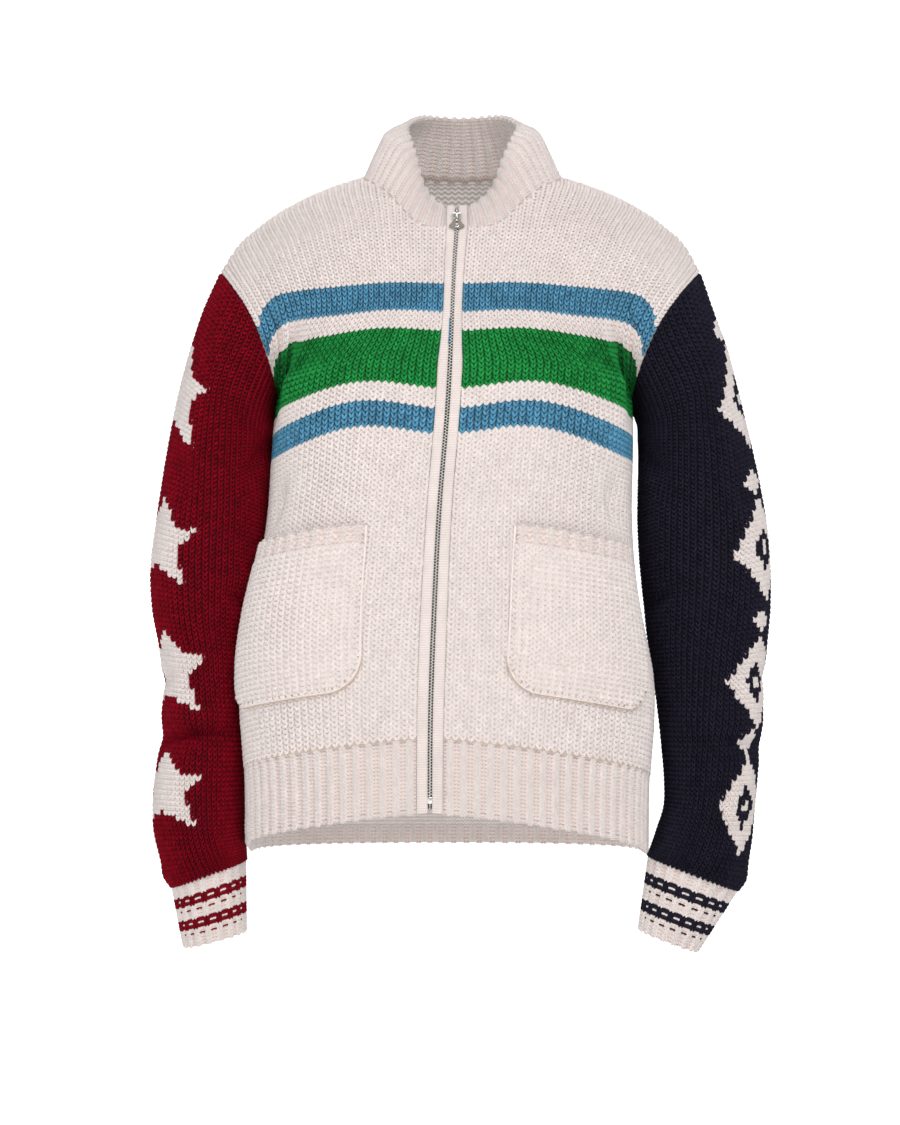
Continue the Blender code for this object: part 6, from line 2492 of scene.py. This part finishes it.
@dataclass
class SliderAndPull:
    """The slider on its bridge and the flared pull that hangs from it.

    Attributes:
        width: Its width at the top.
        depth: Its thickness between its two plates' faces.
        taper: How much of its width it keeps at its lower end.
        raise_by: How far it stands off the facings.
        profile: The slider's levels from its back, and the share of its outline at each.
        bridge_reach: Half the bridge's length.
        bridge_wire: Half its width and half its thickness.
        pivot_along: Where the pull hangs along the slider.
        pivot_rise: How far its pivot lies over the slider's face.
        dip: Degrees that the pull leans outwards at rest.
        rim: The pull's outline: places along it and its half width there.
        stop_spots: The heights between which the stop box lies.
        stop_half: Half the stop's width and half its length.
        stop_profile: The stop's levels and the share of its outline at each.
    """

    line: ZipLine
    length: float = 10.0
    width: float = 12.0
    depth: float = 4.2
    taper: float = 0.62
    raise_by: float = 1.2
    profile: tuple = ((0.0, 0.9), (0.5, 1.0), (1.2, 1.0), (1.25, 0.72), (2.65, 0.72), (2.7, 1.0),
                      (3.4, 1.0), (4.1, 0.92), (4.7, 0.76), (5.15, 0.52), (5.4, 0.2))
    bridge_reach: float = 4.1
    bridge_rise: float = 4.2
    bridge_wire: tuple = (0.85, 0.5)
    pivot_along: float = -2.4
    pivot_rise: float = 1.5
    dip: float = 20.0
    rim: tuple = ((-0.5, 2.2), (3.8, 2.5), (6.0, 3.4), (9.0, 5.0), (11.8, 7.4), (13.0, 7.3),
                  (14.6, 4.6), (15.6, 1.8))
    stop_spots: tuple = (-61.0, -54.8)
    stop_half: tuple = (2.25, 3.1)
    stop_profile: tuple = ((-1.4, 0.85), (-1.1, 1.0), (1.0, 1.0), (1.3, 0.93), (1.4, 0.8))

    def frame(self) -> tuple[Array, Array]:
        """The slider's middle and its three directions: across, up the zip and out.

        Returns:
            The middle, and the directions as rows.
        """
        line = self.line
        foot, _ = line.body.quarter(1, True).at(FRONT_NECK[0].height, 0.0)
        shares = line.slider_share + np.array([-0.1, 0.0, 0.1])
        climb, ways = line.collar.at(shares, np.ones(3))
        start, _ = line.collar.at(0.0, 1.0)
        along = unit(climb[2] - climb[0])
        out = unit(ways[1] - along * np.dot(ways[1], along))
        place = foot + climb[1] - start + out * (self.raise_by + self.depth / 2)
        return place, np.stack([np.cross(along, out), along, out])

    def placed(self, local: Array, frame: tuple[Array, Array]) -> Array:
        """Turn local millimetres into the garment's own."""
        return frame[0] + local @ frame[1]

    def metal(self, name: str, local: Array, faces: list, frame: tuple[Array, Array],
              body: str = "cardigan") -> bpy.types.Object:
        """Make one plated piece.

        Args:
            name: The piece's name.
            local: Its points, in its own millimetres.
            faces: Its faces.
            frame: Where its own middle and directions lie.
            body: The body it moves with.

        Returns:
            The new object.
        """
        return write_mesh(name, self.placed(local, frame), faces, self.line.palette.nickel,
                          body=body)

    def loft(self, outline: Array, profile: Sequence[tuple]) -> tuple[Array, list]:
        """A closed solid: an outline repeated at levels, drawn in by a share at each.

        Args:
            outline: Points across and along, round the shape.
            profile: Heights, from low to high, and how much of its size the outline keeps.

        Returns:
            The solid's points and faces.
        """
        count, levels = len(outline), len(profile)
        rings = [np.column_stack([outline * share, np.full(count, level)])
                 for level, share in profile]
        return np.concatenate(rings), [grid_quads(levels, count, True, False),
                                       end_caps((levels - 1) * count, count, True)]

    def body_outline(self) -> Array:
        """A rounded box that narrows towards its lower end, seen from the front."""
        x, y = rounded(self.width / 2, self.length / 2, 0.55, 0.6, 40).T
        lower = np.clip(-y / self.length + 0.5, 0, 1)
        return np.column_stack([x * (1 - (1 - self.taper) * lower), y])

    def build(self) -> None:
        """Make the slider, its bridge, the pull and the stop."""
        frame = self.frame()
        half = self.depth / 2
        points, faces = self.loft(self.body_outline(),
                                  [(level - half, share) for level, share in self.profile])
        item = self.metal("slider_body", points, faces, frame)
        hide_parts("zip_slider")
        self.bridge(frame, half)
        self.pull(frame, half)
        self.stop()

    def bridge(self, frame: tuple[Array, Array], half: float) -> None:
        """A band of metal that arches over the slider, its section a flat oval.

        Args:
            frame: Where the slider's middle and directions lie.
            half: Half the slider's thickness.
        """
        steps, sides = 25, 12
        turn = np.linspace(0, np.pi, steps)
        y = -self.bridge_reach * powered(np.cos(turn), 0.6)
        z = half - 0.5 + self.bridge_rise * np.maximum(np.sin(turn), 0) ** 0.6
        run = unit(np.gradient(np.column_stack([y, z]), axis=0))
        side, out = rounded(*self.bridge_wire, 0.7, 0.7, sides).T
        points = np.stack([np.broadcast_to(side[None, :], (steps, sides)),
                           y[:, None] - run[:, 1:] * out[None, :],
                           z[:, None] + run[:, :1] * out[None, :]], axis=-1)
        faces = [grid_quads(steps, sides, True, True),
                 end_caps((steps - 1) * sides, sides, False)]
        self.metal("slider_bridge", points.reshape(-1, 3), faces, frame)

    def pull(self, frame: tuple[Array, Array], half: float) -> None:
        """The pull: a flared plate with a slot and an eye, a ball and a small ring.

        Args:
            frame: Where the slider's middle and directions lie.
            half: Half the slider's thickness.
        """
        tilt = math.radians(self.dip)
        turned = np.array([[1, 0, 0], [0, math.cos(tilt), math.sin(tilt)],
                           [0, -math.sin(tilt), math.cos(tilt)]])
        hinge = self.placed(np.array([0.0, self.pivot_along, half + self.pivot_rise]), frame)
        hung = (hinge, turned @ frame[1])
        mesh = PullPlate(self.rim).mesh()
        points = np.zeros(len(mesh.vertices) * 3)
        mesh.vertices.foreach_get("co", points)
        placed = self.placed(points.reshape(-1, 3), hung)
        mesh.vertices.foreach_set("co", (placed * MM).reshape(-1))
        mesh.materials.clear()
        mesh.materials.append(self.line.palette.pull)
        item = add("pull_plate", mesh)
        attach(item, "zip_pull")
        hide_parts("zip_pull")
        self.ball("pull_ball", np.array([0.0, -6.2, 0.75]), 1.0, 0.9, hung)
        self.ring("pull_ring", np.array([0.0, -12.2, 0.7]), 1.75, 0.42, hung)

    def ball(self, name: str, centre: Array, radius: float, flat: float,
             frame: tuple[Array, Array]) -> None:
        """A small flattened ball: circles of latitude between two poles.

        Args:
            name: The piece's name.
            centre: Its middle.
            radius: Its radius.
            flat: Its half height, in radii.
            frame: Where the pull's own middle and directions lie.
        """
        circles, count = 7, 14
        rise = np.linspace(-np.pi / 2, np.pi / 2, circles + 2)[1:-1]
        turn = np.linspace(0, 2 * np.pi, count, endpoint=False)
        points = np.stack([np.cos(rise)[:, None] * np.cos(turn) * radius,
                           np.cos(rise)[:, None] * np.sin(turn) * radius,
                           np.sin(rise)[:, None] * flat * radius + 0 * turn], axis=-1)
        poles = np.array([[0, 0, -flat * radius], [0, 0, flat * radius]])
        spots = np.concatenate([points.reshape(-1, 3), poles]) + centre
        k, top, foot = np.arange(count), (circles - 1) * count, circles * count
        low = np.stack([np.full(count, foot), (k + 1) % count, k], axis=-1)
        high = np.stack([np.full(count, foot + 1), top + k, top + (k + 1) % count], axis=-1)
        faces = [grid_quads(circles, count, True, False), np.concatenate([low, high])]
        self.metal(name, spots, faces, frame, "zip_pull")

    def ring(self, name: str, centre: Array, radius: float, wire: float,
             frame: tuple[Array, Array]) -> None:
        """A small ring: a circle swept round a circle.

        Args:
            name: The piece's name.
            centre: Its middle.
            radius: The large circle's radius.
            wire: The small circle's radius.
            frame: Where the pull's own middle and directions lie.
        """
        steps, sides = 20, 8
        turn = np.linspace(0, 2 * np.pi, steps, endpoint=False)[:, None]
        around = np.linspace(0, 2 * np.pi, sides, endpoint=False)[None, :]
        reach = radius + wire * np.cos(around)
        points = np.stack([reach * np.cos(turn), reach * np.sin(turn),
                           wire * np.sin(around) + 0 * turn], axis=-1)
        grid = np.arange(steps * sides).reshape(steps, sides)
        a, b = grid, np.roll(grid, -1, axis=0)
        quads = np.stack([a, b, np.roll(b, -1, axis=1), np.roll(a, -1, axis=1)],
                         axis=-1).reshape(-1, 4)
        self.metal(name, points.reshape(-1, 3) + centre, [quads], frame, "zip_pull")

    def stop(self) -> None:
        """The box at the zip's foot, with the pin that slides into it."""
        cloth = self.line.body.quarter(1, True)
        ends, ways = cloth.at(np.array(self.stop_spots), np.zeros(2))
        along = unit(ends[1] - ends[0])
        out = unit(ways.sum(axis=0))
        frame = (ends.mean(axis=0) - 0.8 * out, np.stack([np.cross(along, out), along, out]))
        points, faces = self.loft(rounded(*self.stop_half, 0.35, 0.35, 28), self.stop_profile)
        item = self.metal("stop_box", points, faces, frame)
        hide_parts("zip_stop")


@dataclass
class PullPlate:
    """The pull's flat plate, with a slot for the bridge and an eye near its wide end.

    Attributes:
        rim: Places along the plate and its half width at each.
        thick: Its thickness.
        round: The radius of its edges.
        slot: Where the slot starts and ends along the plate, and its half width.
        eye: The eye's place along the plate and its radius.
    """

    rim: Sequence[tuple]
    thick: float = 1.0
    round: float = 0.22
    slot: tuple = (0.5, 4.0, 1.1)
    eye: tuple = (8.6, 1.2)

    def mesh(self) -> bpy.types.Mesh:
        """Fill the outline between its rim and its holes, with a small round edge.

        Returns:
            The plate's mesh, in millimetres.
        """
        rim = [(half, -along) for along, half in self.rim]
        rim += [(-x, y) for x, y in reversed(rim)]
        near, far, half = self.slot
        along, radius = self.eye
        eye = rounded(radius, radius, 1.0, 1.0, 16) - np.array([0.0, along])
        slot = [(half, -near), (half, -far), (-half, -far), (-half, -near)]
        curve = bpy.data.curves.new("pull_outline", "CURVE")
        curve.dimensions = "2D"
        curve.fill_mode = "BOTH"
        curve.extrude = self.thick / 2 - self.round
        curve.bevel_depth = self.round
        curve.bevel_resolution = 2
        curve.offset = -self.round
        for outline in (rim, slot, eye):
            spline = curve.splines.new("POLY")
            spline.points.add(len(outline) - 1)
            spline.use_cyclic_u = True
            spots = [(x, y, 0.0, 1.0) for x, y in outline]
            spline.points.foreach_set("co", np.array(spots).reshape(-1))
        flat = add("pull_outline", curve)
        bpy.context.view_layer.update()
        graph = bpy.context.evaluated_depsgraph_get()
        mesh = bpy.data.meshes.new_from_object(flat.evaluated_get(graph))
        bpy.data.objects.remove(flat)
        return mesh


# A square soft light: its place and target in metres, its width and its watts.
Lamp = namedtuple("Lamp", "name place target size power")


@dataclass
class Studio:
    """The camera, the soft lights, the pale floor and the sheet that bounces light.

    Attributes:
        lens: The lens in millimetres, on a sensor 36 wide.
        distance: Metres from the camera to the upright plane through the origin.
        aim: The camera's place across and up, in metres.
        wall: Millimetres from the middle out to the floor's round wall.
        floor: The floor's height.
        bend: The radius between floor and wall.
        top: The walls' upper edge.
        bounce_wall: How far behind the garment the bounce sheet rises.
        bounce_half: How far the bounce sheet reaches to the front and to each side.
        lamps: The soft lights.
        sky: The strength of the light from all round.
    """

    lens: float = 114.3
    distance: float = 3.5
    aim: tuple = (-0.005, -0.352)
    wall: float = 4600.0
    floor: float = -1150.0
    bend: float = 900.0
    top: float = 4000.0
    bounce_wall: float = 2600.0
    bounce_half: float = 6000.0
    lamps: tuple = (Lamp("key", (0.7, -2.6, 2.0), (0, 0, -0.35), 1.6, 80.0),
                    Lamp("fill", (-2.2, -2.7, 0.3), (0, 0, -0.35), 2.4, 26.0),
                    Lamp("behind", (0.0, 2.0, 1.6), (0, 0, -0.3), 2.0, 20.0))
    sky: float = 0.42

    def camera(self) -> None:
        """Make the camera: level, square to the front."""
        data = bpy.data.cameras.new("camera")
        data.sensor_fit = "AUTO"
        data.sensor_width = 36.0
        data.lens = self.lens
        item = add("camera", data)
        item.location = (self.aim[0], -self.distance, self.aim[1])
        item.rotation_euler = (math.radians(90), 0.0, 0.0)
        bpy.context.scene.camera = item

    def light(self, lamp: Lamp) -> None:
        """Make one square soft light and turn it to its target.

        Args:
            lamp: The light's place, target and strength.
        """
        data = bpy.data.lights.new(lamp.name, "AREA")
        data.shape = "SQUARE"
        data.size = lamp.size
        data.energy = lamp.power
        item = add(lamp.name, data)
        item.location = lamp.place
        way = np.array(lamp.target) - np.array(lamp.place)
        pitch = math.atan2(math.hypot(way[0], way[1]), -way[2])
        item.rotation_euler = (pitch, 0.0, math.atan2(way[0], -way[1]) + math.pi)

    def paper(self, name: str, out: Array, faces: list, glow: float) -> bpy.types.Object:
        """Make one sheet of matt white studio paper.

        Args:
            name: The object's name.
            out: Its points, in millimetres.
            faces: Its faces.
            glow: How much light it gives of itself.

        Returns:
            The new object.
        """
        mesh = bpy.data.meshes.new(name)
        mesh.from_pydata((out.reshape(-1, 3) * MM).tolist(), [], faces)
        mesh.shade_smooth()
        net = Net(f"{name}_paper")
        grain = net.node("ShaderNodeTexNoise", Scale=40.0, Detail=2.0).outputs["Fac"]
        net.link(net.ramp(grain, np.full(3, 0.88), np.full(3, 0.92)),
                 net.shader.inputs["Base Color"])
        net.finish(Roughness=0.95, Emission_Color=(1.0, 1.0, 1.0, 1.0), Emission_Strength=glow)
        mesh.materials.append(net.material)
        item = add(name, mesh)
        return item

    def section(self, starts: Sequence[float], wall: float) -> tuple[Array, Array]:
        """A sheet's section: out along the floor, round a quarter circle and up a wall.

        Args:
            starts: Places along the floor before the bend.
            wall: Where the wall stands.

        Returns:
            How far out and how high each of its points lies.
        """
        turn = np.linspace(0, math.pi / 2, 17)
        out = wall - self.bend + self.bend * np.sin(turn)
        up = self.floor + self.bend - self.bend * np.cos(turn)
        return (np.concatenate([starts, out, [wall]]),
                np.concatenate([[self.floor] * len(starts), up, [self.top]]))

    def sweep(self) -> None:
        """Make the bounce sheet, which throws light on the back and the hem.

        It runs along under the garment and curves up behind it, and is out of the
        camera's sight.
        """
        ys, zs = self.section([-self.bounce_half], self.bounce_wall)
        x, y = np.meshgrid([-self.bounce_half, self.bounce_half], ys)
        points = np.stack([x, y, zs[:, None] + 0 * x], axis=-1)
        item = self.paper("bounce_sheet", points, grid_quads(len(ys), 2, False, False).tolist(),
                          0.42)
        item.visible_camera = False

    def bowl(self) -> None:
        """Make the pale floor, which curves up into a wall far out on every side.

        Its section runs out along the floor, round a quarter circle and up the wall, and
        is turned about the upright axis. It is only seen: it lights nothing.
        """
        out, up = self.section([20.0, 1500.0], self.wall)
        spin = np.linspace(0, 2 * math.pi, 97)[:-1]
        points = np.stack([out[:, None] * np.cos(spin), out[:, None] * np.sin(spin),
                           up[:, None] + 0 * spin], axis=-1)
        faces = grid_quads(len(out), len(spin), True, True).tolist() + [list(range(len(spin)))]
        item = self.paper("floor", points, faces, 0.9)
        item.visible_diffuse = item.visible_glossy = item.visible_shadow = False
        item.visible_transmission = False
        item.data.materials[0].cycles.emission_sampling = "NONE"

    def build(self) -> None:
        """Make the whole studio."""
        self.sweep()
        self.bowl()
        for lamp in self.lamps:
            self.light(lamp)
        bpy.context.scene.view_settings.view_transform = "Standard"
        world = bpy.data.worlds.new("studio")
        world.use_nodes = True
        light = world.node_tree.nodes["Background"].inputs
        light["Color"].default_value = (1.0, 1.0, 1.0, 1.0)
        light["Strength"].default_value = self.sky
        bpy.context.scene.world = world


def main() -> None:
    """Build the studio and every part of the cardigan."""
    logging.basicConfig(level=logging.INFO, format="%(message)s")
    studio = Studio()
    studio.camera()
    studio.build()
    palette = Palette()
    body = BodyShape()
    Panels(body, palette).build()
    sleeves = [("sleeve_right", -1, RIGHT_SLEEVE, RIGHT_CUFF_END, Yarn.BURGUNDY, STARS),
               ("sleeve_left", 1, LEFT_SLEEVE, LEFT_CUFF_END, Yarn.NAVY, LOZENGES)]
    stripes = CuffStripes()
    for name, side, rows, end, ground, motifs in sleeves:
        shape = SleeveShape(side, rows, end, body)
        face = SleeveCloth(name, shape, ground, motifs, palette).build()
        cuff = shape.cuff(face)
        band = FoldedBand(cuff, seam=0.0, edge=cuff.rows[-1], thick=WALL,
                          courses=stripes.courses, outer_rows=20)
        yarns = {0: ("cream", Yarn.CREAM), 1: ("striped", ground)}
        RibbedBand(name.replace("sleeve", "cuff"), band, Ribbing(repeats=19, closed=True),
                   palette, flat=(0.245, 0.065), inside_courses=4.0, colour_of=stripes.chart,
                   yarns=yarns, seed=61 + side).build()
    hem = FoldedBand(HemShape(body).surface(), seam=0.0, edge=-HEM_DEPTH, thick=WALL, courses=20)
    RibbedBand("hem_band", hem, Ribbing(repeats=84, closed=False), palette,
               flat=(1.06, 0.070), inside_courses=5.0).build()
    places = np.linspace(0.001, 0.999, 360)
    points, ways = hem.face.at(0.0, places)
    cord("hem_seam", points - 0.5 * ways, ways, 0.75, Yarn.TAN, palette)
    collar = CollarShape(body).surface()
    stand = FoldedBand(collar, seam=0.0, edge=1.0, thick=7.0, courses=17, outer_rows=11,
                       arc_rows=7)
    rib = Ribbing(repeats=43, closed=False, inside=Inside.SAME, way=1.0, proud=0.1, core=-1.3)
    RibbedBand("collar", stand, rib, palette, flat=(0.55, 0.064), inside_courses=16.0,
               seed=57).build()
    Pocket(-1, "pocket_right", body, palette).build()
    Pocket(1, "pocket_left", body, palette).build()
    ZipLine(body, collar, palette).build()


if __name__ == "__main__":
    main()
